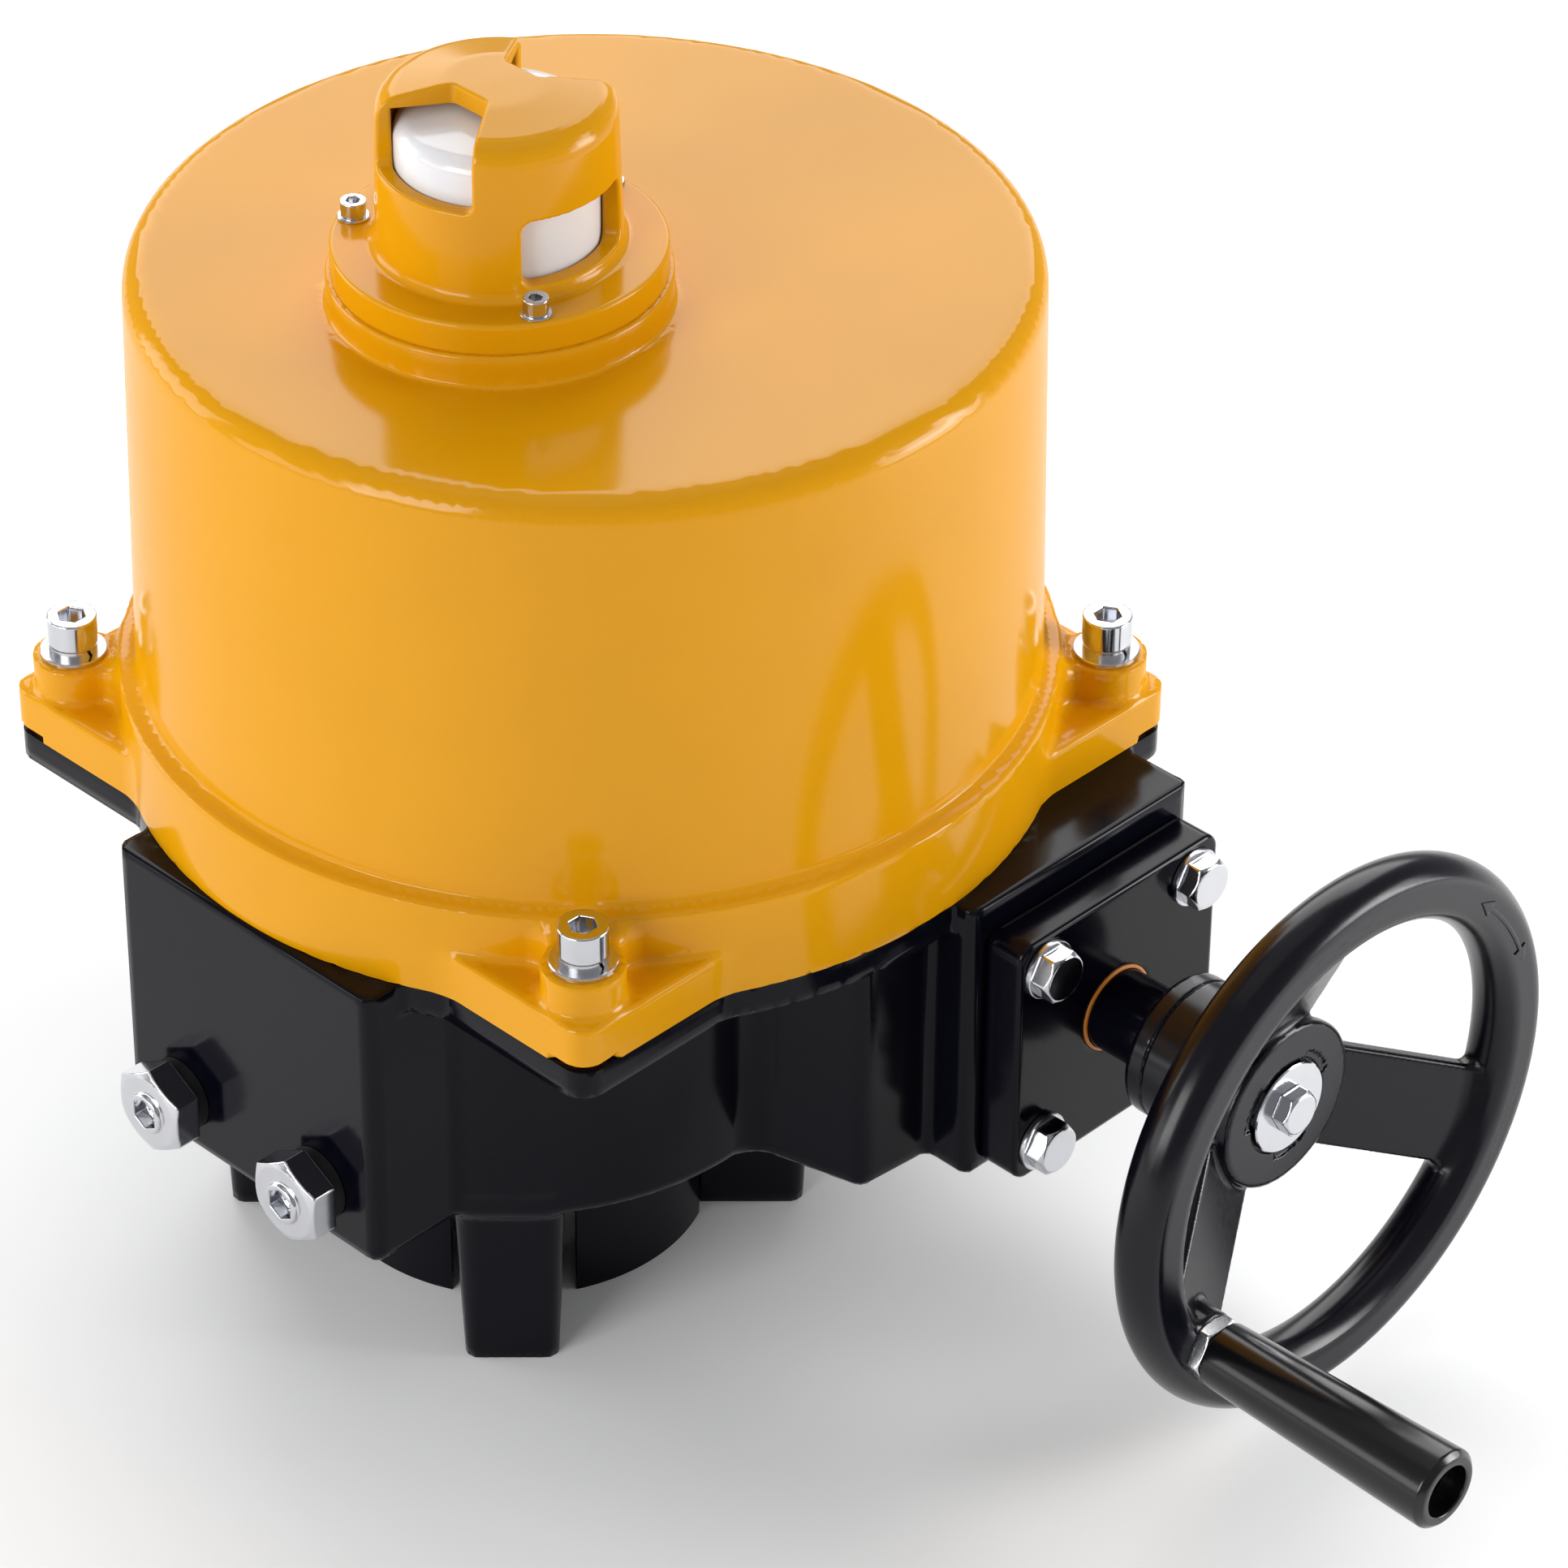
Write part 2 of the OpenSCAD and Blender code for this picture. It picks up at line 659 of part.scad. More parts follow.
// Indicator
ind_bush_r = 10;
ind_shaft_r = 6;
cap_cord_r = 1;
cap_seal_r = cap_screw_r - cap_screw_d / 2 - 2.4;
lens_foot_r = cap_seal_r - 2.6;
lens_foot_t = 2;
cap_top_r = cap_r - 1.3;
cap_shoulder = 9;
cap_crown_t = 8;
cap_inner_r = cap_top_r - cap_wall;
lens_r = cap_inner_r - loose;
lens_wall = 2;
lens_top_z = cap_top_z - cap_crown_t - loose;
window_inset = 10.6;
drum_drop = 4;
drum_ind_h = 36;
drum_top_t = 3;

module at_cap_screws() {
    for (turn = [90:120:330]) rotate([0, 0, turn]) translate([cap_screw_r, 0, 0]) children();
}

module cap_profile() {
    shoulder_z = cap_top_z - cap_shoulder - 3;
    polygon([[0, cap_z - cut], [cap_foot_r, cap_z - cut], [cap_foot_r, cap_z + 0.5],
        [cap_r + 0.8, cap_z + 2.2], [cap_r, cap_z + 5], [cap_top_r, shoulder_z],
        [cap_top_r - cap_shoulder, shoulder_z + cap_shoulder], [cap_top_r - 20, cap_top_z - 1],
        [cap_top_r - 30, cap_top_z], [0, cap_top_z]]);
    translate([cap_top_r - cap_shoulder, shoulder_z]) circle(r = cap_shoulder);
}

module window_wedge(half_angle, inset) {
    reach = 2 * cap_foot_r;
    polygon([[inset, -inset * tan(half_angle)], [reach, -reach * tan(half_angle)],
        [reach, reach * tan(half_angle)], [inset, inset * tan(half_angle)]]);
}

module indicator_cap() {
    color([0.96, 0.68, 0.12]) difference() {
        union() {
            translate([0, 0, ind_z]) cylinder(r = cap_flange_r, h = cap_flange_t);
            rotate_extrude() cap_profile();
        }
        translate([0, 0, ind_z - cut]) cylinder(r = cap_inner_r, h = lens_top_z + loose - ind_z + cut);
        translate([0, 0, ind_z - cut]) cylinder(r = lens_foot_r + loose, h = lens_foot_t + cut);
        for (turn = [90, 270]) rotate([0, 0, turn]) translate([0, 0, cap_z + window_split + 1.5])
            linear_extrude(cap_h) window_wedge(window_up_angle, window_inset);
        for (turn = [0, 180]) rotate([0, 0, turn]) translate([0, 0, cap_z + 4])
            linear_extrude(window_split - 5) window_wedge(window_low_angle, window_inset);
        at_cap_screws() translate([0, 0, ind_z - cut])
            cylinder(r = cap_screw_d / 2 + 0.3, h = cap_flange_t + 2 * cut);
    }
}

module indicator_cap_seal() {
    color([0.05, 0.05, 0.05]) translate([0, 0, ind_z - cap_cord_r]) rotate_extrude()
        translate([cap_seal_r, 0]) circle(r = cap_cord_r, $fn = 32);
}

module indicator_cap_screws() {
    color([0.8, 0.81, 0.83]) at_cap_screws() translate([0, 0, cap_z + 1])
        cap_screw(cap_screw_d, cap_flange_t + 8);
}

module indicator_cap_washers() {
    color([0.75, 0.76, 0.78]) at_cap_screws() translate([0, 0, cap_z])
        ring(cap_screw_d, cap_screw_d / 2 + fit, 1);
}

module lens_profile(r, top) {
    edge = 10;
    polygon([[0, ind_z], [r, ind_z], [r, top - edge - 1], [r - edge, top - 1], [8, top], [0, top]]);
    translate([r - edge, top - edge - 1]) circle(r = edge);
}

module indicator_lens() {
    color([0.93, 0.93, 0.94]) difference() {
        union() {
            rotate_extrude() intersection() {
                lens_profile(lens_r, lens_top_z);
                square([2 * lens_r, 2 * lens_top_z]);
            }
            translate([0, 0, ind_z]) cylinder(r = lens_foot_r, h = lens_foot_t);
        }
        translate([0, 0, -lens_wall]) rotate_extrude() intersection() {
            lens_profile(lens_r - lens_wall, lens_top_z);
            square([2 * lens_r, 2 * lens_top_z]);
        }
    }
}

module indicator_drum() {
    color([0.9, 0.9, 0.9]) difference() {
        translate([0, 0, cap_z - drum_drop]) cylinder(r = drum_ind_r, h = drum_ind_h);
        translate([0, 0, cap_z - drum_drop - cut])
            cylinder(r = drum_ind_r - 2, h = drum_ind_h - drum_top_t + cut);
        translate([0, 0, cap_z - drum_drop]) cylinder(r = ind_shaft_r + fit, h = drum_ind_h + cut);
    }
}

module indicator_shaft() {
    color([0.7, 0.71, 0.73]) {
        translate([0, 0, out_top_z - 14]) cylinder(r = shaft_hollow_r - fit, h = 14 + cut);
        translate([0, 0, out_top_z]) cylinder(r = shaft_hollow_r + 5, h = 3);
        translate([0, 0, out_top_z + 2])
            cylinder(r = ind_shaft_r, h = cap_z + drum_ind_h - drum_top_t - out_top_z);
    }
}

module indicator_bush() {
    color([0.78, 0.6, 0.3]) translate([0, 0, cover_top_z - cover_top_t])
        ring(ind_bush_r, ind_shaft_r + fit, cover_top_t + ind_boss_h - 1);
}

// End plate on the worm block
module end_plate() {
    color([0.08, 0.08, 0.09]) difference() {
        union() {
            along_x(plate_x0) linear_extrude(plate_t) rounded_square(plate_side, plate_side, 6);
            along_x(bearing_out_end + 0.2)
                cylinder(r = bearing_out_outer_r, h = plate_x0 - bearing_out_end);
        }
        along_x(bearing_out_end - cut) cylinder(r = sleeve_r + loose, h = 3 * plate_t);
        along_x(plate_x1 - seal_ring_t) cylinder(r = sleeve_r + seal_ring_w, h = seal_ring_t + cut);
        at_plate_corners(plate_x0 - cut)
            cylinder(r = plate_bolt_d / 2 + 0.5, h = plate_t + 2 * cut);
    }
}

module end_plate_gasket() {
    color([0.85, 0.42, 0.08]) difference() {
        along_x(block_face) linear_extrude(gasket_t)
            rounded_square(plate_side - 2 * gasket_inset, plate_side - 2 * gasket_inset, 6);
        along_x(block_face - cut) cylinder(r = bearing_out_outer_r + 0.5, h = gasket_t + 2 * cut);
        at_plate_corners(block_face - cut)
            cylinder(r = plate_bolt_d / 2 + 0.5, h = gasket_t + 2 * cut);
    }
}

module end_plate_bolts() {
    color([0.8, 0.81, 0.83]) at_plate_corners(plate_x1 + plate_washer_t)
        hex_bolt(plate_bolt_d, plate_t + gasket_t + plate_washer_t + 18, 1.6 * plate_bolt_d);
}

module end_plate_washers() {
    color([0.75, 0.76, 0.78]) at_plate_corners(plate_x1)
        ring(plate_bolt_d, plate_bolt_d / 2 + fit, plate_washer_t);
}

module shaft_seal_ring() {
    color([0.85, 0.42, 0.08]) along_x(plate_x1 - seal_ring_t) 
        ring(sleeve_r + seal_ring_w, sleeve_r + fit, seal_ring_t + 0.6);
}

// Cable entries
module at_entries(y) {
    for (x = [-1, 1]) translate([x * entry_x, y, entry_z]) rotate([90, 0, 0]) children();
}

module cable_plugs() {
    color([0.82, 0.83, 0.85]) at_entries(-entry_face - plug_seal_t) difference() {
        union() {
            intersection() {
                cylinder(r = plug_flats / sqrt(3), h = plug_hex_t, $fn = 6);
                union() {
                    cylinder(r = plug_flats / sqrt(3), h = plug_hex_t - 3);
                    translate([0, 0, plug_hex_t - 3])
                        cylinder(r1 = plug_flats / sqrt(3), r2 = plug_flats * 0.46, h = 3);
                }
            }
            translate([0, 0, -plug_seal_t - entry_wall])
                cylinder(d = entry_d, h = plug_seal_t + entry_wall + cut);
            translate([0, 0, plug_hex_t - cut]) cylinder(r = 7, h = 1.5 + cut);
        }
        translate([0, 0, plug_hex_t - 3]) cylinder(r = 5.6, h = 6, $fn = 6);
        translate([0, 0, plug_hex_t - 6]) cylinder(r1 = 0.5, r2 = 4.5, h = 3.2);
    }
}

module plug_seals() {
    color([0.06, 0.06, 0.06]) at_entries(-entry_face)
        ring(entry_d / 2 + 2.5, entry_d / 2 + fit, plug_seal_t);
}

// Worm shaft, worm and their bearings
module worm_shaft() {
    color([0.66, 0.67, 0.69]) difference() {
        union() {
            along_x(gear_plane_a - 2) cylinder(r = shaft_tail_r, h = bearing_in_x - gear_plane_a + 2 + cut);
            along_x(bearing_in_x) cylinder(r = bearing_in_r, h = web_x0 - bearing_in_x + cut);
            along_x(web_x0) cylinder(r = worm_seat_r, h = worm_len / 2 - web_x0 + cut);
            along_x(worm_len / 2) cylinder(r = shaft_shoulder_r, h = bearing_out_x - worm_len / 2 + cut);
            along_x(bearing_out_x) cylinder(r = bearing_out_r, h = bearing_out_t);
            along_x(bearing_out_end - cut)
                cylinder(r = shaft_nose_r, h = hub_front - 6 - bearing_out_end + cut);
        }
        along_x(hub_front - 40) cylinder(r = hub_bolt_d / 2 + fit, h = 40);
    }
}

// Cross section of the single-start thread: the flank profile wrapped once round
function thread_r(a) = let (u = abs(a) / 360 * worm_lead)
    let (slope = (worm_tip_r - worm_root_r) * tan(20))
    let (tip = worm_lead / 4 - flank_play - slope * 0.45, foot = tip + slope)
    u < tip ? worm_tip_r
        : u > foot ? worm_root_r
        : worm_tip_r - (worm_tip_r - worm_root_r) * (u - tip) / slope;

module worm() {
    steps = 32;
    color([0.6, 0.61, 0.64]) difference() {
        along_x(0) linear_extrude(worm_len, center = true, twist = -360 * worm_turns,
            slices = 14 * worm_turns, $fn = steps)
            rotate(-90) polygon([for (i = [0:steps - 1])
                let (a = i * 360 / steps - 180) thread_r(a) * [cos(a), sin(a)]]);
        along_x(-worm_len) cylinder(r = worm_seat_r + fit, h = 2 * worm_len);
    }
}

module bearing(outer, inner, t) {
    shield = (outer - inner) / 3;
    difference() {
        ring(outer, inner + fit, t);
        for (z = [-cut, t - 0.8]) translate([0, 0, z])
            ring(outer - shield, inner + shield, 0.8 + cut);
    }
}

module inner_worm_bearing() {
    color([0.75, 0.76, 0.78]) along_x(bearing_in_x)
        bearing(bearing_in_outer_r, bearing_in_r, bearing_in_t);
}

module outer_worm_bearing() {
    color([0.75, 0.76, 0.78]) along_x(bearing_out_x)
        bearing(bearing_out_outer_r, bearing_out_r, bearing_out_t);
}

// Worm wheel and output shaft
module wheel_tooth() {
    half = worm_lead / 4 - flank_play;
    grow = (wheel_pitch_r - wheel_root_r) * tan(20);
    rotate([lead_angle, 0, 0]) linear_extrude(wheel_w * 1.1, center = true)
        polygon([[wheel_root_r - 1, -half - grow], [wheel_tip_r, -half + 1.5],
            [wheel_tip_r, half - 1.5], [wheel_root_r - 1, half + grow]]);
}

module worm_wheel() {
    color([0.76, 0.57, 0.25]) difference() {
        union() {
            translate([0, 0, wheel_z0]) cylinder(r = wheel_root_r, h = wheel_w);
            intersection() {
                translate([0, 0, worm_z]) for (i = [0:wheel_teeth - 1])
                    rotate([0, 0, 90 + (i + 0.5) * 360 / wheel_teeth]) wheel_tooth();
                translate([0, 0, wheel_z0]) cylinder(r = wheel_tip_r, h = wheel_w);
            }
            translate([0, 0, wheel_z0 - 12]) linear_extrude(12 + cut)
                stop_sector(270 - lug_half, 270 + lug_half);
        }
        translate([0, 0, wheel_z0 - cut]) cylinder(r = out_r + fit, h = wheel_w + 2 * cut);
        for (z = [wheel_z0 - cut, wheel_z1 - 6])
            translate([0, 0, z]) ring(wheel_root_r - 14, hub_outer_r + 3, 6 + cut);
        translate([out_r - key_h / 2 - fit, -key_w / 2 - fit, wheel_z0 - cut])
            cube([key_h + 2 * fit, key_w + 2 * fit, wheel_w + 2 * cut]);
    }
}

module output_shaft() {
    color([0.6, 0.61, 0.64]) difference() {
        union() {
            translate([0, 0, out_low_z]) cylinder(r = out_r, h = out_top_z - out_low_z);
            translate([0, 0, wheel_z1 + fit]) cylinder(r = out_r + 8, h = collar_t);
        }
        translate([0, 0, out_low_z - cut]) cylinder(r = bush_seat_r, h = stop_top_z - out_low_z + cut);
        translate([0, 0, out_low_z]) cylinder(r = shaft_hollow_r, h = base_h + post_h);
        translate([0, 0, ring_z]) cylinder(r = bush_seat_r + 1.2, h = ring_t + fit);
        translate([out_r - key_h / 2 - fit, -key_w / 2 - fit, wheel_z0 + 2])
            cube([key_h, key_w + 2 * fit, wheel_w - 4]);
        translate([0, -bush_key_w / 2 - fit, drive_bush_z])
            cube([bush_seat_r + bush_key_h / 2 + fit, bush_key_w + 2 * fit, 30]);
    }
}

module drive_keys() {
    color([0.55, 0.56, 0.58]) {
        translate([out_r - key_h / 2, -key_w / 2, wheel_z0 + 2.1]) cube([key_h, key_w, wheel_w - 4.2]);
        translate([bush_seat_r - bush_key_h / 2, -bush_key_w / 2, drive_bush_z + 0.5])
            cube([bush_key_h, bush_key_w, 29]);
    }
}

module drive_bush() {
    len = stop_top_z - drive_bush_z - fit;
    color([0.5, 0.51, 0.53]) difference() {
        translate([0, 0, drive_bush_z]) ring(bush_seat_r - fit, stem_r, len);
        translate([-stem_r - 3.2, -stem_key_w / 2, drive_bush_z - cut])
            cube([stem_r, stem_key_w, len + 2 * cut]);
        translate([bush_seat_r - bush_key_h / 2 - fit, -bush_key_w / 2 - fit, drive_bush_z - cut])
            cube([bush_key_h, bush_key_w + 2 * fit, 31]);
    }
}

module drive_bush_ring() {
    color([0.45, 0.46, 0.48]) translate([0, 0, ring_z]) difference() {
        ring(bush_seat_r + 1, bush_seat_r - 3, ring_t);
        translate([-2 * out_r, -4, -cut]) cube([2 * out_r, 8, ring_t + 2 * cut]);
    }
}

module lower_output_bush() {
    color([0.76, 0.57, 0.25]) translate([0, 0, hub_low_z + seal_t + 0.2])
        ring(hub_bore_r - 0.01, out_r + fit, hub_top_z - hub_low_z - seal_t - 0.2);
}

module upper_output_bush() {
    color([0.76, 0.57, 0.25]) translate([0, 0, upper_bush_z])
        ring(hub_bore_r - 0.01, out_r + fit, out_top_z - upper_bush_z - 1);
}

module output_seal() {
    color([0.06, 0.06, 0.06]) translate([0, 0, hub_low_z]) ring(seal_r - 0.01, out_r + fit, seal_t);
}

module thrust_washer() {
    color([0.75, 0.76, 0.78]) translate([0, 0, hub_top_z + 0.02])
        ring(hub_outer_r - 1, out_r + fit, thrust_t - 0.1);
}

// Cover of the wheel chamber, carrying the upper bush
module at_gear_cover_screws() {
    for (turn = [-160, -125, -55, -20, 15, 45]) rotate([0, 0, turn])
        translate([gear_cover_screw_r, 0, 0]) children();
}

module gear_cover() {
    color([0.55, 0.56, 0.58]) difference() {
        union() {
            translate([0, 0, parting_z]) cylinder(r = gear_cover_r, h = gear_cover_t);
            translate([0, 0, upper_bush_z]) cylinder(r = hub_outer_r, h = parting_z - upper_bush_z + cut);
        }
        translate([0, 0, upper_bush_z - cut]) cylinder(r = hub_bore_r, h = 60);
        translate([gearbox_x, gearbox_y0 - 3, parting_z - cut]) cube([web_x1 - gearbox_x, 90, 20]);
        translate([-worm_end, worm_y - bracket_half_w - loose, parting_z - cut]) cube([worm_end, 90, 20]);
        difference() {
            translate([-entry_half_w + entry_wall, -entry_face, parting_z - cut])
                cube([2 * (entry_half_w - entry_wall), entry_face, 20]);
            cylinder(r = chamber_r + pocket_wall, h = parting_z + 20);
        }
        at_gear_cover_screws() translate([0, 0, parting_z - cut])
            cylinder(r = gear_screw_d / 2 + loose, h = gear_cover_t + 2 * cut);
        at_control_posts() translate([0, 0, parting_z - cut])
            cylinder(r = control_stud_r + fit, h = gear_cover_t + 2 * cut);
    }
}

module gear_cover_screws() {
    color([0.8, 0.81, 0.83]) at_gear_cover_screws() translate([0, 0, gear_cover_z])
        cap_screw(gear_screw_d, gear_screw_len);
}

// Bracket that carries the motor and the idler
bracket_screw_x = bracket_x + bracket_t + 12;
bracket_screw_pos = 22;
motor_screw_pos = 20;
motor_screw_d = 5;
motor_spigot_r = 11;
screw_head_gap = 4;

module at_bracket_screws() {
    for (y = [-1, 1]) translate([bracket_screw_x, worm_y + y * bracket_screw_pos, 0]) children();
}

module at_motor_screws() {
    for (y = [-1, 1], z = [-1, 1])
        along_x(bracket_x - screw_head_gap, worm_y + y * motor_screw_pos, motor_z + z * motor_screw_pos)
            children();
}

module gear_bracket() {
    color([0.6, 0.61, 0.62]) difference() {
        union() {
            translate([bracket_x, worm_y - bracket_half_w, parting_z])
                cube([bracket_t, 2 * bracket_half_w, motor_z + bracket_half_w - parting_z]);
            translate([bracket_x, worm_y - bracket_half_w, parting_z])
                cube([bracket_foot, 2 * bracket_half_w, bracket_t]);
        }
        along_x(bracket_x - cut, worm_y, idler_z) cylinder(r = axle_r + fit, h = bracket_t + 2 * cut);
        along_x(bracket_x - cut, worm_y, motor_z) cylinder(r = motor_spigot_r, h = bracket_t + 2 * cut);
        at_motor_screws() cylinder(r = motor_screw_d / 2 + 0.2, h = 4 * motor_screw_d);
        at_bracket_screws() translate([0, 0, parting_z - cut])
            cylinder(r = gear_screw_d / 2 + loose, h = 2 * bracket_t);
    }
}

module gear_bracket_screws() {
    color([0.8, 0.81, 0.83]) {
        at_bracket_screws() translate([0, 0, parting_z + bracket_t])
            cap_screw(gear_screw_d, bracket_screw_len);
        at_motor_screws() translate([0, 0, screw_head_gap]) mirror([0, 0, 1])
            cap_screw(motor_screw_d, bracket_t + 6);
    }
}

axle_head_r = axle_r + 3;
axle_head_t = 2.5;
axle_play = 0.5;

module idler_axle() {
    head_x = gear_plane_a - axle_head_t - axle_play;
    gear_end = gear_plane_b + spur_w;
    color([0.66, 0.67, 0.69]) {
        along_x(head_x, worm_y, idler_z) cylinder(r = axle_r, h = bracket_x + bracket_t - head_x);
        along_x(head_x, worm_y, idler_z) cylinder(r = axle_head_r, h = axle_head_t);
        along_x(gear_end + axle_play, worm_y, idler_z)
            cylinder(r = axle_head_r, h = bracket_x - gear_end - axle_play);
    }
}

// A tooth of each gear lies towards its upper or lower neighbour and meets a gap there
function mesh_phase(teeth, toward, tooth) = toward - (tooth ? 0 : 180 / teeth);

module idler_gear() {
    color([0.62, 0.63, 0.66]) difference() {
        union() {
            along_x(gear_plane_a, worm_y, idler_z) linear_extrude(spur_w)
                spur_outline(idler_small_teeth, mesh_phase(idler_small_teeth, 0, true));
            along_x(gear_plane_b, worm_y, idler_z) linear_extrude(spur_w)
                spur_outline(idler_large_teeth, mesh_phase(idler_large_teeth, 180, false));
            along_x(gear_plane_a, worm_y, idler_z)
                cylinder(r = 12, h = gear_plane_b + spur_w - gear_plane_a);
        }
        along_x(gear_plane_a - cut, worm_y, idler_z) cylinder(r = axle_r + fit, h = 60);
    }
}

module worm_shaft_gear() {
    color([0.62, 0.63, 0.66]) difference() {
        union() {
            along_x(gear_plane_a) linear_extrude(spur_w)
                spur_outline(shaft_gear_teeth, mesh_phase(shaft_gear_teeth, 180, false));
            along_x(gear_plane_a) cylinder(r = 15, h = bearing_in_x - 1.5 - gear_plane_a);
        }
        along_x(gear_plane_a - cut) cylinder(r = shaft_tail_r + fit, h = 60);
    }
}

// Motor
module motor_can() {
    color([0.35, 0.36, 0.38]) difference() {
        union() {
            along_x(motor_x0, worm_y, motor_z) cylinder(r = motor_r, h = motor_len);
            for (turn = [0:15:345]) along_x(motor_x0 + 6, worm_y, motor_z) rotate([0, 0, turn])
                translate([motor_r - 1, -1, 0]) cube([3, 2, motor_len - 12]);
        }
        along_x(motor_x0 - cut, worm_y, motor_z)
            cylinder(r = motor_r - motor_wall, h = motor_len + 2 * cut);
    }
}

module motor_front_bell() {
    color([0.55, 0.56, 0.58]) difference() {
        union() {
            along_x(motor_x0 - bell_t, worm_y, motor_z) cylinder(r = motor_r, h = bell_t);
            along_x(motor_x0 - cut, worm_y, motor_z)
                cylinder(r = motor_r - motor_wall - fit, h = 4 + cut);
            along_x(motor_x0 - bell_t - bracket_t / 2, worm_y, motor_z)
                cylinder(r = motor_spigot_r - 0.1, h = bracket_t / 2 + cut);
        }
        along_x(motor_x0 - 2 * bell_t, worm_y, motor_z) cylinder(r = motor_shaft_r + fit, h = 4 * bell_t);
        at_motor_screws() cylinder(r = motor_screw_d / 2 + fit, h = bell_t + bracket_t + screw_head_gap);
    }
}

module motor_rear_bell() {
    color([0.55, 0.56, 0.58]) difference() {
        union() {
            along_x(motor_x1, worm_y, motor_z) cylinder(r = motor_r, h = bell_t);
            along_x(motor_x1 - 4, worm_y, motor_z)
                cylinder(r = motor_r - motor_wall - fit, h = 4 + cut);
        }
        along_x(motor_x1 - bell_t, worm_y, motor_z) cylinder(r = motor_shaft_r + fit, h = 3 * bell_t);
    }
}

module motor_rotor() {
    color([0.5, 0.51, 0.54]) {
        along_x(gear_plane_b - 2, worm_y, motor_z)
            cylinder(r = motor_shaft_r, h = motor_x1 + bell_t + 2 - gear_plane_b);
        along_x(motor_x0 + 12, worm_y, motor_z) cylinder(r = motor_r - motor_wall - 8, h = motor_len - 24);
    }
}

module motor_pinion() {
    color([0.62, 0.63, 0.66]) difference() {
        along_x(gear_plane_b, worm_y, motor_z) linear_extrude(spur_w)
            spur_outline(pinion_teeth, mesh_phase(pinion_teeth, 0, true));
        along_x(gear_plane_b - cut, worm_y, motor_z) cylinder(r = motor_shaft_r + fit, h = 2 * spur_w);
    }
}

// Controls under the cover
control_z = gear_cover_z + 30;
control_t = 2.5;
control_x = 68;
control_y0 = -80;
control_y1 = 42;
control_post_x = 56;
control_stud_r = 2;
sensor_x = 36.5;
sensor_size = [26, 18, 30];
block_size = [96, 18, 16];
block_step = [11, 9];
terminal_pitch = 8;
terminal_r = 2.4;
can_r = 15;
can_foot_r = 17;
can_foot_t = 5;
can_h = 64;
can_y = 14;
heater_size = [18, 44, 29];
heater_y = -6;
heater_foot_t = 4;
heater_fin_t = 2.5;
heater_fin_pitch = 7;

module at_control_posts() {
    for (x = [-1, 1], y = [control_y0 + 22, control_y1 - 8])
        translate([x * control_post_x, y, 0]) children();
}

module control_plate() {
    color([0.62, 0.63, 0.6]) difference() {
        translate([-control_x, control_y0, control_z])
            cube([2 * control_x, control_y1 - control_y0, control_t]);
        translate([0, 0, control_z - cut]) cylinder(r = 14, h = control_t + 2 * cut);
        at_control_posts() translate([0, 0, control_z - cut])
            cylinder(r = control_stud_r + fit, h = control_t + 2 * cut);
    }
}

module control_plate_posts() {
    color([0.75, 0.76, 0.78]) at_control_posts() {
        translate([0, 0, gear_cover_z]) cylinder(r = 4.5, h = control_z - gear_cover_z, $fn = 6);
        translate([0, 0, parting_z + 1])
            cylinder(r = control_stud_r, h = control_z + control_t + 2 - parting_z);
        translate([0, 0, control_z + control_t]) cylinder(r = 4, h = 2.5);
    }
}

cam_z = control_z + 14;
cam_pitch = 10;
cam_t = 6;
cam_r = 13;
cam_nose_r = 21;
cam_nose_w = 14;

module limit_cam(turn) {
    rotate([0, 0, turn]) difference() {
        union() {
            cylinder(r = cam_r, h = cam_t);
            intersection() {
                cylinder(r = cam_nose_r, h = cam_t);
                translate([0, -cam_nose_w / 2, 0]) cube([cam_nose_r + 1, cam_nose_w, cam_t]);
            }
        }
        translate([0, 0, -cut]) cylinder(r = ind_shaft_r + fit, h = cam_t + 2 * cut);
    }
}

module limit_cams() {
    color([0.85, 0.2, 0.15]) {
        translate([0, 0, cam_z]) limit_cam(180);
        translate([0, 0, cam_z + cam_pitch]) limit_cam(-90);
    }
}

module limit_sensors() {
    color([0.12, 0.13, 0.15]) for (side = [-1, 1])
        translate([side * sensor_x, 0, control_z + control_t]) difference() {
            translate([-sensor_size.x / 2, -sensor_size.y / 2, 0]) cube(sensor_size);
            for (y = [-5, 5]) translate([0, y, sensor_size.z - 6]) cylinder(r = 1.6, h = 6 + cut);
        }
}

module terminal_block() {
    color([0.55, 0.57, 0.6])
        translate([-block_size.x / 2, control_y0 + 6, control_z + control_t]) difference() {
            cube(block_size);
            translate([-cut, block_step.x, block_step.y]) cube([block_size.x + 2 * cut, 20, 20]);
            for (x = [terminal_pitch / 2:terminal_pitch:block_size.x])
                translate([x, block_step.x / 2, block_size.z - 6]) cylinder(r = terminal_r, h = 6 + cut);
        }
}

module capacitor() {
    color([0.7, 0.72, 0.75]) translate([-gear_cover_r - can_foot_r - 1, can_y, parting_z]) {
        cylinder(r = can_r, h = can_h);
        cylinder(r = can_foot_r, h = can_foot_t);
        for (x = [-1, 1]) translate([x * can_r / 3 - 1, -3, can_h - cut]) cube([2, 6, 8 + cut]);
    }
}

module heater() {
    color([0.65, 0.6, 0.5]) translate([gear_cover_r + 6, heater_y, parting_z]) {
        cube([heater_size.x, heater_size.y, heater_foot_t]);
        for (y = [2:heater_fin_pitch:heater_size.y - heater_fin_t]) translate([0, y, heater_foot_t - cut])
            cube([heater_size.x, heater_fin_t, heater_size.z - heater_foot_t + cut]);
        translate([5, 0, heater_foot_t - cut]) cube([heater_size.x - 10, heater_size.y, 12]);
    }
}

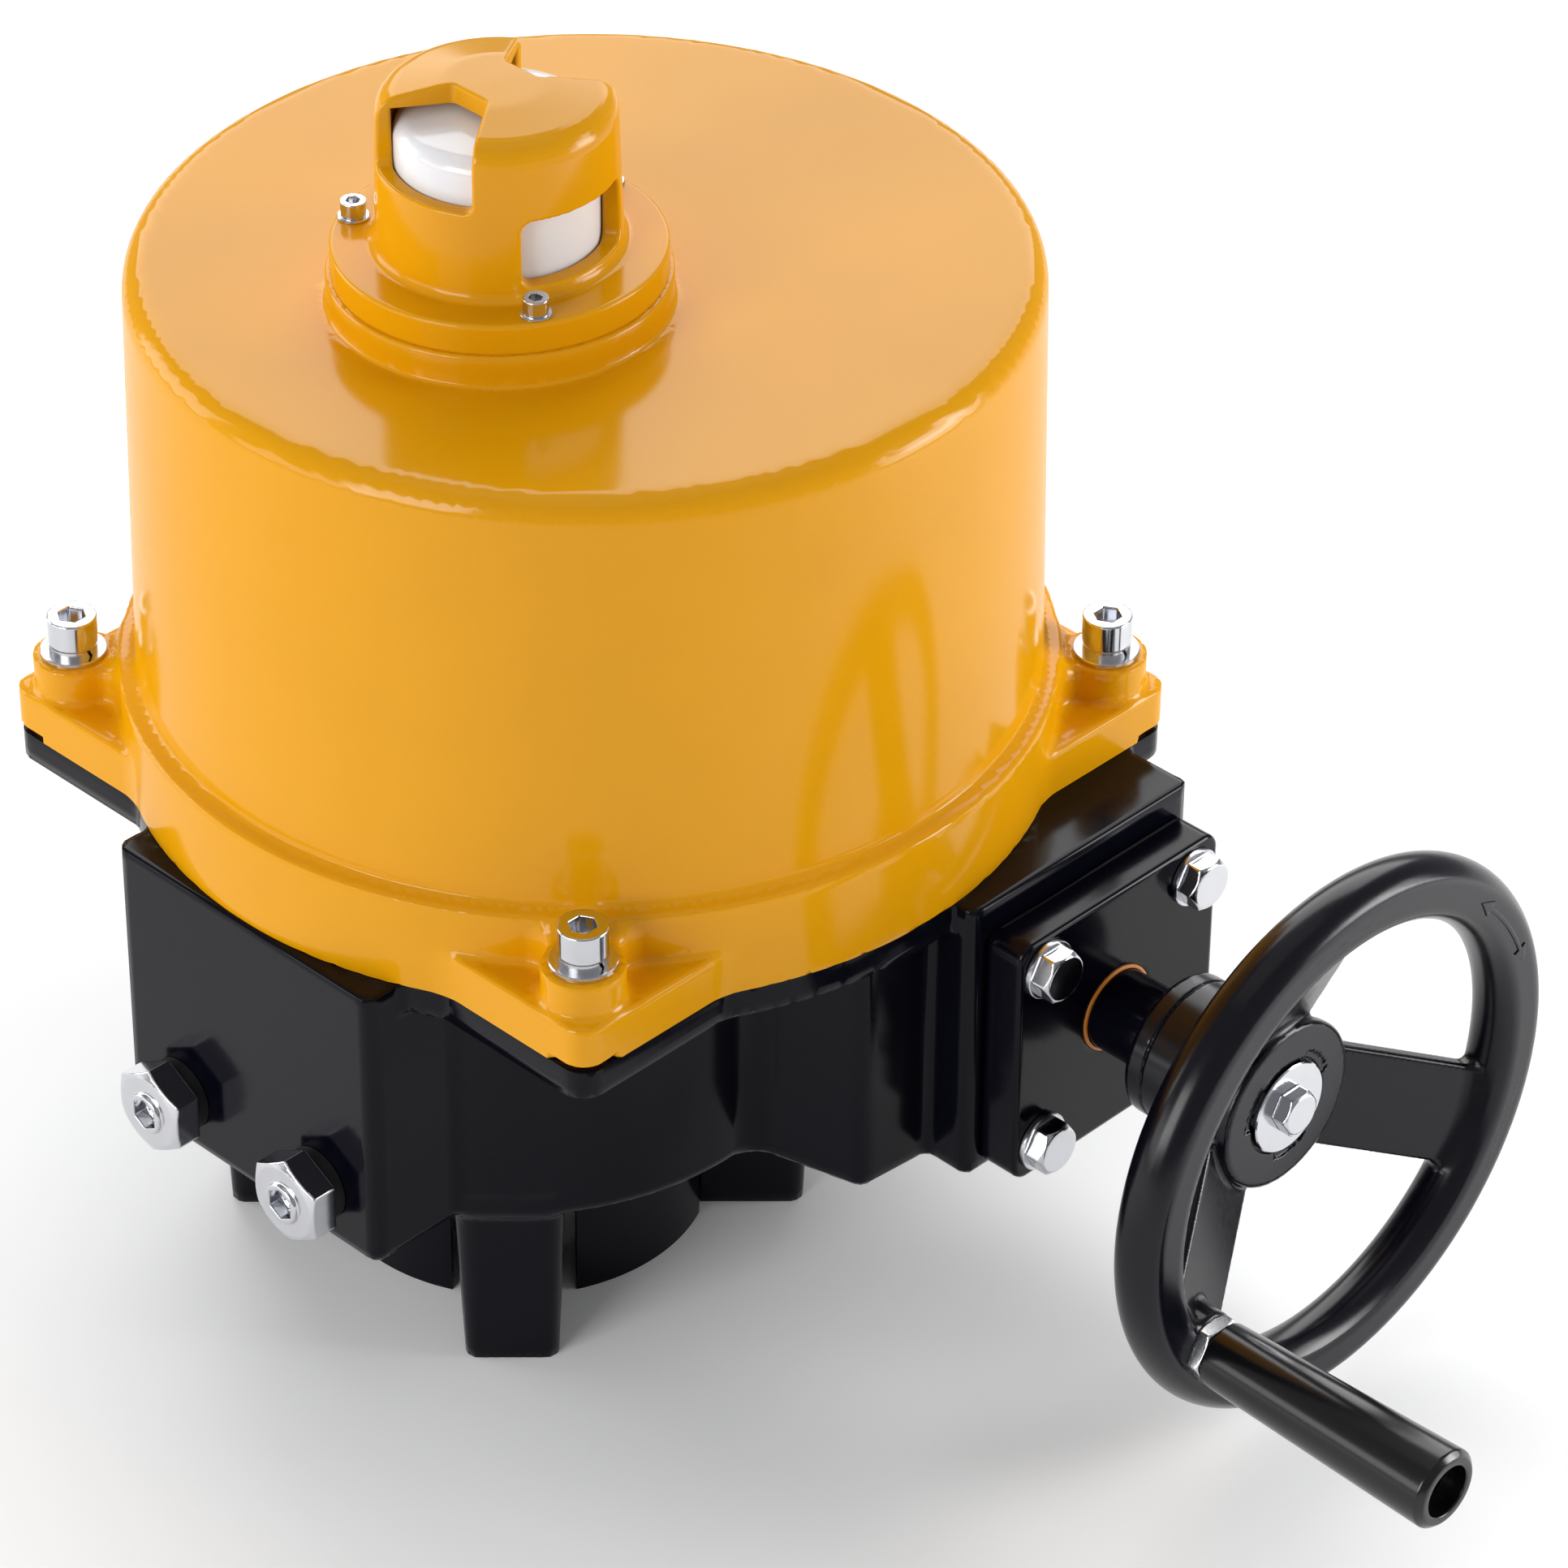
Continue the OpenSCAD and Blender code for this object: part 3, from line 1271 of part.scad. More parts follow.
// Handwheel side
module shaft_sleeve() {
    color([0.09, 0.09, 0.1]) along_x(bearing_out_end + fit)
        ring(sleeve_r, shaft_nose_r + fit, hub_back - bearing_out_end - fit);
}

module handwheel() {
    color([0.08, 0.08, 0.09]) difference() {
        union() {
            along_x(hub_back) cylinder(r1 = hub_r - 2.5, r2 = hub_r, h = 2.5);
            along_x(hub_back + 2.5) cylinder(r = hub_r, h = hub_len - 2.5 - hub_disc_t + cut);
            along_x(hub_front - hub_disc_t) cylinder(r = hub_disc_r, h = hub_disc_t);
            along_x(rim_x) rotate_extrude() translate([wheel_mid_r, 0]) circle(r = wheel_rim_r);
            for (i = [0:2]) translate([0, worm_y, worm_z]) rotate([spoke_turn + i * 120 - 90, 0, 0])
                spoke_plate();
            along_x(crank_boss_x - 20, crank_y, crank_z) cylinder(r = crank_boss_r, h = 20);
        }
        along_x(hub_back - cut) cylinder(r = shaft_nose_r + fit, h = hub_len + 2 * cut);
        along_x(hub_front - hub_recess) cylinder(r = hub_recess_r, h = hub_recess + cut);
        along_x(crank_boss_x - 21, crank_y, crank_z) cylinder(r = spindle_r + fit, h = 40);
        along_x(crank_boss_x, crank_y, crank_z) cylinder(r = crank_nut_r + loose, h = 20);
    }
}

// One dished spoke, standing along +Z from the handwheel axis
module spoke_plate() {
    r0 = hub_r - spoke_root;
    r1 = wheel_mid_r - spoke_root;
    x0 = hub_back + spoke_rise;
    rotate([90, 0, 0]) linear_extrude(spoke_w, center = true)
        polygon([[x0, r0], [x0 + spoke_t, r0], [rim_x + spoke_t / 2, r1], [rim_x - spoke_t / 2, r1]]);
}

module handwheel_washer() {
    color([0.85, 0.86, 0.88]) along_x(hub_front - hub_recess)
        ring(hub_washer_r, hub_bolt_d / 2 + fit, hub_washer_t);
}

module handwheel_bolt() {
    color([0.8, 0.81, 0.83]) along_x(hub_front - hub_recess + hub_washer_t)
        hex_bolt(hub_bolt_d, 30, 14);
}

module crank_spindle() {
    color([0.72, 0.73, 0.75]) {
        along_x(crank_boss_x - 20, crank_y, crank_z)
            cylinder(r = spindle_r, h = grip_x + grip_len - grip_recess - crank_boss_x + 21);
        along_x(grip_x + grip_len - grip_recess + loose, crank_y, crank_z) cylinder(r = 7, h = 5);
    }
}

module crank_nut() {
    color([0.5, 0.51, 0.53]) along_x(crank_boss_x, crank_y, crank_z) difference() {
        cylinder(r = crank_nut_r, h = crank_nut_t, $fn = 6);
        translate([0, 0, -cut]) cylinder(r = spindle_r + fit, h = 20);
    }
}

module crank_grip() {
    color([0.06, 0.06, 0.06]) along_x(grip_x, crank_y, crank_z) difference() {
        union() {
            cylinder(r1 = grip_foot_r, r2 = grip_end_r, h = grip_len - 3);
            translate([0, 0, grip_len - 3]) cylinder(r1 = grip_end_r, r2 = grip_end_r - 3, h = 3);
        }
        translate([0, 0, -cut]) cylinder(r = spindle_r + fit, h = grip_len);
        translate([0, 0, grip_len - grip_recess]) cylinder(r = 8.5, h = grip_recess + cut);
    }
}

base_housing();
cover();
cover_seal();
cover_screws();
cover_lock_washers();
cover_flat_washers();
indicator_cap();
indicator_cap_seal();
indicator_cap_screws();
indicator_cap_washers();
indicator_lens();
indicator_drum();
indicator_shaft();
indicator_bush();
end_plate();
end_plate_gasket();
end_plate_bolts();
end_plate_washers();
shaft_seal_ring();
cable_plugs();
plug_seals();
worm_shaft();
worm();
inner_worm_bearing();
outer_worm_bearing();
worm_wheel();
output_shaft();
drive_keys();
drive_bush();
drive_bush_ring();
lower_output_bush();
upper_output_bush();
output_seal();
thrust_washer();
gear_cover();
gear_cover_screws();
gear_bracket();
gear_bracket_screws();
idler_axle();
idler_gear();
worm_shaft_gear();
motor_can();
motor_front_bell();
motor_rear_bell();
motor_rotor();
motor_pinion();
control_plate();
control_plate_posts();
limit_cams();
limit_sensors();
terminal_block();
capacitor();
heater();
shaft_sleeve();
handwheel();
handwheel_bolt();
handwheel_washer();
crank_spindle();
crank_nut();
crank_grip();
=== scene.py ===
"""Looks for an electric quarter-turn valve actuator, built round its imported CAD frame.

Lengths inside the shape classes are millimetres in the frame's own axes; meshes are metres.
"""

from __future__ import annotations

import sys
import json
import logging
import math
from dataclasses import dataclass, replace
from enum import Enum
from typing import Callable, Sequence

import bpy
import numpy as np
from mathutils import Matrix, Vector


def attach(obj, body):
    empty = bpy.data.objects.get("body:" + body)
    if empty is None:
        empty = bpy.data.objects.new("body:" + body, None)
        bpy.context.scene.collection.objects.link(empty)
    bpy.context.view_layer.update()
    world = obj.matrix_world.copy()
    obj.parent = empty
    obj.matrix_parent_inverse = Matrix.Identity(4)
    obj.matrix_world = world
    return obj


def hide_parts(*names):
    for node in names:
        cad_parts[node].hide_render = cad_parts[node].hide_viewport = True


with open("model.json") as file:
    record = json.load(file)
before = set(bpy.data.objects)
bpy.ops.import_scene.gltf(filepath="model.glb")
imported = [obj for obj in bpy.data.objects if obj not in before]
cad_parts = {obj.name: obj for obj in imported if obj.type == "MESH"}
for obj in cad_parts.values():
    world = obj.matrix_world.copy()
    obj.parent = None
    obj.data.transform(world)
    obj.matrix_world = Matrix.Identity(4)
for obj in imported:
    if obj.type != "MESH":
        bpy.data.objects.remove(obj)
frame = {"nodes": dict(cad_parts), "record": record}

LOG = logging.getLogger("actuator")
MM = 0.001
Points = np.ndarray
Distance = Callable[[Points], np.ndarray]
Pair = tuple[float, float]
Triple = tuple[float, float, float]
Outline = Callable[[np.ndarray, np.ndarray], np.ndarray]

# How a solid is wrapped: fine steps in a coarse one, how many coarse steps round the surface are
# sampled finely, points in a batch, passes that close in on a crossing, the share of the strongest
# direction below which one counts as flat, the mean normal's length below which a point lies on a
# crease, and how far a crease's normals are read towards the middle of the face
COARSE = 4
BAND = 1.9
BATCH = 400000
PASSES = 3
FLAT_SHARE = 0.06
CREASE = 0.94
INWARD = 0.28


# Signed distance solids


def soft_min(a: np.ndarray, b: np.ndarray, radius: float) -> np.ndarray:
    """Joins two distances with a round fillet.

    Args:
        a: distance to the first shape.
        b: distance to the second shape.
        radius: fillet radius, zero for a sharp corner.

    Returns:
        The distance to both shapes together.
    """
    if radius <= 0:
        return np.minimum(a, b)
    u = np.maximum(radius - a, 0)
    v = np.maximum(radius - b, 0)
    return np.maximum(radius, np.minimum(a, b)) - np.sqrt(u * u + v * v)


def soft_max(a: np.ndarray, b: np.ndarray, radius: float) -> np.ndarray:
    """Keeps what two distances share, with a rounded edge.

    Args:
        a: distance to the first shape.
        b: distance to the second shape.
        radius: edge radius, zero for a sharp edge.

    Returns:
        The distance to the shared volume.
    """
    return -soft_min(-a, -b, radius)


class Solid:
    """A closed shape, known by its signed distance in millimetres."""

    def __init__(self, distance: Distance) -> None:
        """Keeps the distance function."""
        self.distance = distance

    def join(self, other: Solid, fillet: float = 0.0) -> Solid:
        """Adds another solid with a fillet in the corner between them."""
        return Solid(lambda p: soft_min(self.distance(p), other.distance(p), fillet))

    def clip(self, other: Solid, rounding: float = 0.0) -> Solid:
        """Keeps the part inside another solid, with a rounded edge."""
        return Solid(lambda p: soft_max(self.distance(p), other.distance(p), rounding))

    def cut(self, other: Solid, rounding: float = 0.0) -> Solid:
        """Takes another solid away, with a rounded edge."""
        return Solid(lambda p: soft_max(self.distance(p), -other.distance(p), rounding))

    def moved(self, x: float, y: float, z: float) -> Solid:
        """Moves the solid."""
        shift = np.array([[x], [y], [z]], np.float32)
        return Solid(lambda p: self.distance(p - shift))

    def mirrored_pairs(self, x: float, y: float) -> Solid:
        """Repeats what lies in the first quadrant round the point (x, y) into all four."""

        def distance(p: Points) -> np.ndarray:
            """Distance after folding the four quadrants onto the first."""
            return self.distance(np.stack([np.abs(p[0] - x), np.abs(p[1] - y), p[2]]))

        return Solid(distance)

    def on_diagonal(self) -> Solid:
        """Turns a solid that is built along +X so that it lies along the first diagonal."""
        half = math.sqrt(0.5)
        return Solid(lambda p: self.distance(np.stack(
            [(p[0] + p[1]) * half, (p[1] - p[0]) * half, p[2]])))

    def along_x(self, y: float, z: float) -> Solid:
        """Turns a solid that is built round +Z so that it stands round +X through (y, z)."""
        return Solid(lambda p: self.distance(np.stack([z - p[2], p[1] - y, p[0]])))


def disc(u: np.ndarray, v: np.ndarray, radius: float) -> np.ndarray:
    """Distance in the plane to a disc round the origin."""
    return np.hypot(u, v) - radius


def plate(u: np.ndarray, v: np.ndarray, half_u: float, half_v: float, corner: float) -> np.ndarray:
    """Distance in the plane to a rounded rectangle round the origin."""
    qu = np.abs(u) - half_u + corner
    qv = np.abs(v) - half_v + corner
    return np.hypot(np.maximum(qu, 0), np.maximum(qv, 0)) + np.minimum(np.maximum(qu, qv), 0) - corner


def polygon(u: np.ndarray, v: np.ndarray, points: Sequence[Pair]) -> np.ndarray:
    """Distance in the plane to a closed outline.

    Args:
        u: first coordinates.
        v: second coordinates.
        points: corners of the outline, in order.

    Returns:
        Signed distances, negative inside.
    """
    best = np.full(u.shape, 1e12, np.float32)
    inside = np.zeros(u.shape, bool)
    for i, (bu, bv) in enumerate(points):
        au, av = points[i - 1]
        eu, ev = bu - au, bv - av
        wu, wv = u - au, v - av
        t = np.clip((wu * eu + wv * ev) / (eu * eu + ev * ev), 0, 1)
        best = np.minimum(best, (wu - t * eu) ** 2 + (wv - t * ev) ** 2)
        if av != bv:
            crosses = (av <= v) != (bv <= v)
            inside ^= crosses & (u < au + (v - av) * (eu / ev))
    return np.where(inside, -1, 1) * np.sqrt(best)


def rounded(points: Sequence[tuple[float, ...]], steps: int = 6) -> list[Pair]:
    """Rounds the corners of an outline.

    Args:
        points: corners as (u, v) or (u, v, radius).
        steps: segments in each corner arc.

    Returns:
        The outline with arcs for corners.
    """
    out: list[Pair] = []
    for i, corner in enumerate(points):
        radius = corner[2] if len(corner) > 2 else 0.0
        b = np.array(corner[:2], float)
        if radius <= 0:
            out.append((float(b[0]), float(b[1])))
            continue
        a = np.array(points[i - 1][:2], float) - b
        c = np.array(points[(i + 1) % len(points)][:2], float) - b
        a, c = a / np.linalg.norm(a), c / np.linalg.norm(c)
        half = math.acos(float(np.clip(a @ c, -1, 1))) / 2
        bisector = (a + c) / np.linalg.norm(a + c)
        centre = b + bisector * radius / math.sin(half)
        p0 = b + a * radius / math.tan(half) - centre
        p1 = b + c * radius / math.tan(half) - centre
        start = math.atan2(p0[1], p0[0])
        turn = (math.atan2(p1[1], p1[0]) - start + 3 * math.pi) % (2 * math.pi) - math.pi
        for k in range(steps + 1):
            angle = start + turn * k / steps
            out.append((float(centre[0] + radius * math.cos(angle)),
                        float(centre[1] + radius * math.sin(angle))))
    return out


def prism(outline: Outline, low: float, high: float, top: float = 0.0, foot: float = 0.0) -> Solid:
    """Stands an outline up along Z.

    Args:
        outline: distance in the plane.
        low: height of the underside.
        high: height of the top.
        top: radius of the top edge.
        foot: radius of the bottom edge.

    Returns:
        The upright solid.
    """

    def distance(p: Points) -> np.ndarray:
        """Distance to the prism."""
        d = soft_max(outline(p[0], p[1]), p[2] - high, top)
        return soft_max(d, low - p[2], foot)

    return Solid(distance)


def turned(points: Sequence[Pair]) -> Solid:
    """Turns a profile of (radius, height) points round Z; a negative radius closes it at the axis."""
    return Solid(lambda p: polygon(np.hypot(p[0], p[1]), p[2], points))


def rod(radius: float, low: float, high: float, top: float = 0.0, foot: float = 0.0) -> Solid:
    """A round bar along Z."""
    return prism(lambda u, v: disc(u, v, radius), low, high, top, foot)


def hexagon(flats: float, corner: float = 0.3) -> Outline:
    """Outline of a hexagon of the given width across flats."""

    def outline(u: np.ndarray, v: np.ndarray) -> np.ndarray:
        """Distance in the plane to the hexagon."""
        half = flats / 2
        a = np.abs(u * 0.5 + v * math.sqrt(0.75)) - half
        b = np.abs(u * 0.5 - v * math.sqrt(0.75)) - half
        return soft_max(soft_max(a, b, corner), np.abs(u) - half, corner)

    return outline


def sample(solid: Solid, low: Triple, high: Triple, cell: float) -> tuple[np.ndarray, np.ndarray]:
    """Samples a solid on a grid, finely only near its surface.

    Args:
        solid: shape to sample.
        low: lowest corner of the grid.
        high: highest corner of the grid.
        cell: grid spacing.

    Returns:
        The distances and the grid's first point.
    """
    step = COARSE
    count = [int(math.ceil((h - l) / cell / step)) + 1 for l, h in zip(low, high)]
    start = np.array(low, np.float32)
    coarse_axes = [start[i] + np.arange(count[i] + 1) * cell * step for i in range(3)]
    grid = np.stack([g.ravel() for g in np.meshgrid(*coarse_axes, indexing="ij")]).astype(np.float32)
    coarse = solid.distance(grid).reshape([c + 1 for c in count])
    near = np.abs(coarse) < cell * step * BAND
    block = np.zeros(count, bool)
    for dx in (0, 1):
        for dy in (0, 1):
            for dz in (0, 1):
                block |= near[dx:dx + count[0], dy:dy + count[1], dz:dz + count[2]]
    fine = np.repeat(np.repeat(np.repeat(coarse[:-1, :-1, :-1], step, 0), step, 1), step, 2)
    wanted = np.repeat(np.repeat(np.repeat(block, step, 0), step, 1), step, 2)
    index = np.argwhere(wanted)
    for part in np.array_split(index, max(1, len(index) // BATCH)):
        points = (start[:, None] + part.T * cell).astype(np.float32)
        fine[tuple(part.T)] = solid.distance(points)
    return fine.astype(np.float32), start


def gradient(solid: Solid, points: Points, step: float) -> np.ndarray:
    """Slope of the distance at each point."""
    out = np.empty_like(points)
    for axis in range(3):
        shift = np.zeros((3, 1), np.float32)
        shift[axis] = step
        out[axis] = solid.distance(points + shift) - solid.distance(points - shift)
    return out / (2 * step)


def crossings(solid: Solid, grid: np.ndarray, start: np.ndarray, cell: float,
              axis: int) -> tuple[np.ndarray, np.ndarray, np.ndarray]:
    """Finds where the surface crosses the grid lines along one axis.

    Args:
        solid: the shape.
        grid: its sampled distances.
        start: the grid's first point.
        cell: grid spacing.
        axis: direction of the grid lines.

    Returns:
        Grid place of each line, the crossing in grid units and the normal there.
    """
    first, second = [slice(None)] * 3, [slice(None)] * 3
    first[axis], second[axis] = slice(0, -1), slice(1, None)
    inside = grid < 0
    edge = np.argwhere(inside[tuple(first)] != inside[tuple(second)])
    unit = np.zeros(3, np.float32)
    unit[axis] = 1
    low, high = np.zeros(len(edge)), np.ones(len(edge))
    at_low = grid[tuple(edge.T)].astype(float)
    at_high = grid[tuple((edge + unit.astype(int)).T)].astype(float)
    t = at_low / (at_low - at_high)
    for _ in range(PASSES):
        spot = edge + t[:, None] * unit
        here = solid.distance((start + spot * cell).T.astype(np.float32)).astype(float)
        same = (here < 0) == (at_low < 0)
        low, at_low = np.where(same, t, low), np.where(same, here, at_low)
        high, at_high = np.where(same, high, t), np.where(same, at_high, here)
        gap = at_low - at_high
        t = low + (high - low) * np.where(np.abs(gap) > 1e-9, at_low / np.where(gap == 0, 1, gap), 0.5)
    spot = edge + t[:, None] * unit
    normal = gradient(solid, (start + spot * cell).T.astype(np.float32), cell * 0.03)
    return edge, spot, (normal / np.maximum(np.linalg.norm(normal, axis=0), 1e-6)).T


@dataclass
class Skin:
    """A closed quad mesh round a solid.

    Attributes:
        points: corners in millimetres.
        quads: corner numbers of each face.
        normals: surface normal at each corner of each face.
    """

    points: np.ndarray
    quads: np.ndarray
    normals: np.ndarray


def skin(solid: Solid, low: Triple, high: Triple, cell: float) -> Skin:
    """Wraps a mesh round a solid by dual contouring, which keeps its edges crisp.

    Args:
        solid: shape to wrap.
        low: lowest corner of its box.
        high: highest corner of its box.
        cell: size of a face.

    Returns:
        The mesh.
    """
    pad = 3 * cell
    grid, start = sample(solid, tuple(v - pad for v in low), tuple(v + pad for v in high), cell)
    shape = [n - 1 for n in grid.shape]
    inside = grid < 0
    count = np.zeros(shape, np.uint8)
    for i, j, k in ((i, j, k) for i in (0, 1) for j in (0, 1) for k in (0, 1)):
        count += inside[i:i + shape[0], j:j + shape[1], k:k + shape[2]]
    cells = np.argwhere((count > 0) & (count < 8))
    number = np.full(shape, -1, np.int32)
    number[tuple(cells.T)] = np.arange(len(cells))
    total = np.zeros((len(cells), 16))
    quads = []
    for axis in range(3):
        u, v = (axis + 1) % 3, (axis + 2) % 3
        edge, spot, normal = crossings(solid, grid, start, cell, axis)
        ring = []
        for du, dv in ((-1, -1), (0, -1), (0, 0), (-1, 0)):
            at = edge.copy()
            at[:, u] += du
            at[:, v] += dv
            index = number[tuple(at.T)]
            ring.append(index)
            local = spot - cells[index]
            reach = (normal * local).sum(1)
            row = np.column_stack([local, np.ones(len(local)), normal, normal * reach[:, None],
                                   normal[:, [0, 0, 0, 1, 1, 2]] * normal[:, [0, 1, 2, 1, 2, 2]]])
            for column in range(16):
                total[:, column] += np.bincount(index, row[:, column], len(cells))
        quad = np.stack(ring, 1)
        outward = inside[tuple(edge.T)][:, None]
        quads.append(np.where(outward, quad, quad[:, ::-1]))
    hits = total[:, 3:4]
    middle = total[:, :3] / hits
    square = total[:, [10, 11, 12, 11, 13, 14, 12, 14, 15]].reshape(-1, 3, 3)
    wish = total[:, 7:10] - np.einsum("nij,nj->ni", square, middle)
    size, way = np.linalg.eigh(square)
    keep = size > FLAT_SHARE * size[:, 2:]
    along = np.einsum("nji,nj->ni", way, wish) * np.where(keep, 1 / np.where(keep, size, 1), 0)
    local = np.clip(middle + np.einsum("nij,nj->ni", way, along), 0.02, 0.98)
    points = start + (cells + local) * cell
    creased = np.linalg.norm(total[:, 4:7] / hits, axis=1) < CREASE
    faces = np.concatenate(quads)
    smooth = gradient(solid, points.T.astype(np.float32), cell * 0.12).T
    normals = smooth[faces]
    rough = creased[faces].any(1)
    corners = points[faces[rough]]
    probe = corners * (1 - INWARD) + corners.mean(1, keepdims=True) * INWARD
    slope = gradient(solid, probe.reshape(-1, 3).T.astype(np.float32), cell * 0.04).T
    normals[rough] = slope.reshape(-1, 4, 3)
    normals = normals.reshape(-1, 3)
    normals = normals / np.maximum(np.linalg.norm(normals, axis=1, keepdims=True), 1e-6)
    return Skin(points, faces, normals)


def make_object(name: str, mesh: bpy.types.Mesh) -> bpy.types.Object:
    """Puts a mesh into the scene as an object of the same name."""
    mesh.name = name
    made = bpy.data.objects.new(name, mesh)
    bpy.context.scene.collection.objects.link(made)
    return made


def shaped(name: str, solid: Solid, low: Triple, high: Triple, cell: float) -> bpy.types.Object:
    """Makes an object from a solid.

    Args:
        name: the object's name.
        solid: its shape.
        low: lowest corner of its box.
        high: highest corner of its box.
        cell: size of a face.

    Returns:
        The finished object.
    """
    wrap = skin(solid, low, high, cell)
    mesh = bpy.data.meshes.new(name)
    mesh.from_pydata((wrap.points * MM).tolist(), [], wrap.quads.tolist())
    mesh.polygons.foreach_set("use_smooth", np.ones(len(mesh.polygons), bool))
    mesh.normals_split_custom_set(wrap.normals.tolist())
    mesh.update()
    LOG.info("%s: %d triangles", name, 2 * len(wrap.quads))
    return make_object(name, mesh)


def lathe(name: str, profile: Sequence[Pair], steps: int = 96) -> bpy.types.Object:
    """Makes a closed ring-shaped object by turning a closed profile round Z.

    Args:
        name: the object's name.
        profile: (radius, height) points, in order; those on the axis have radius zero.
        steps: faces round the axis.

    Returns:
        The finished object.
    """
    rows: list[list[int]] = []
    points: list[Triple] = []
    for radius, height in profile:
        if radius <= 0:
            points.append((0.0, 0.0, height))
            rows.append([len(points) - 1] * steps)
            continue
        rows.append([len(points) + k for k in range(steps)])
        for k in range(steps):
            angle = 2 * math.pi * k / steps
            points.append((radius * math.cos(angle), radius * math.sin(angle), height))
    faces = []
    for a, b in zip(rows, rows[1:] + rows[:1]):
        for k in range(steps):
            n = (k + 1) % steps
            corners = list(dict.fromkeys([a[k], a[n], b[n], b[k]]))
            if len(corners) > 2:
                faces.append(corners)
    mesh = bpy.data.meshes.new(name)
    mesh.from_pydata([(x * MM, y * MM, z * MM) for x, y, z in points], [], faces)
    mesh.validate()
    turn_outward(mesh)
    mesh.shade_smooth()
    mesh.set_sharp_from_angle(angle=math.radians(35))
    return make_object(name, mesh)


def turn_outward(mesh: bpy.types.Mesh) -> None:
    """Flips a closed mesh whose faces point inwards."""
    mesh.calc_loop_triangles()
    co = np.array([v.co for v in mesh.vertices])
    tri = np.array([t.vertices for t in mesh.loop_triangles])
    a, b, c = co[tri[:, 0]], co[tri[:, 1]], co[tri[:, 2]]
    if np.einsum("ij,ij->i", a, np.cross(b, c)).sum() < 0:
        mesh.flip_normals()


def place(made: bpy.types.Object, matrix: Matrix) -> bpy.types.Object:
    """Moves an object's mesh, so that the object itself stays at the origin."""
    made.data.transform(matrix)
    made.data.update()
    return made


def onto_x(x: float, y: float, z: float) -> Matrix:
    """Placement that lays a +Z piece along +X from a point given in millimetres."""
    return Matrix.Translation((x * MM, y * MM, z * MM)) @ Matrix.Rotation(math.pi / 2, 4, "Y")


# Repeats made with Geometry Nodes


class Pattern(Enum):
    """How copies of a part are laid out."""

    GRID = "grid"
    RING = "ring"


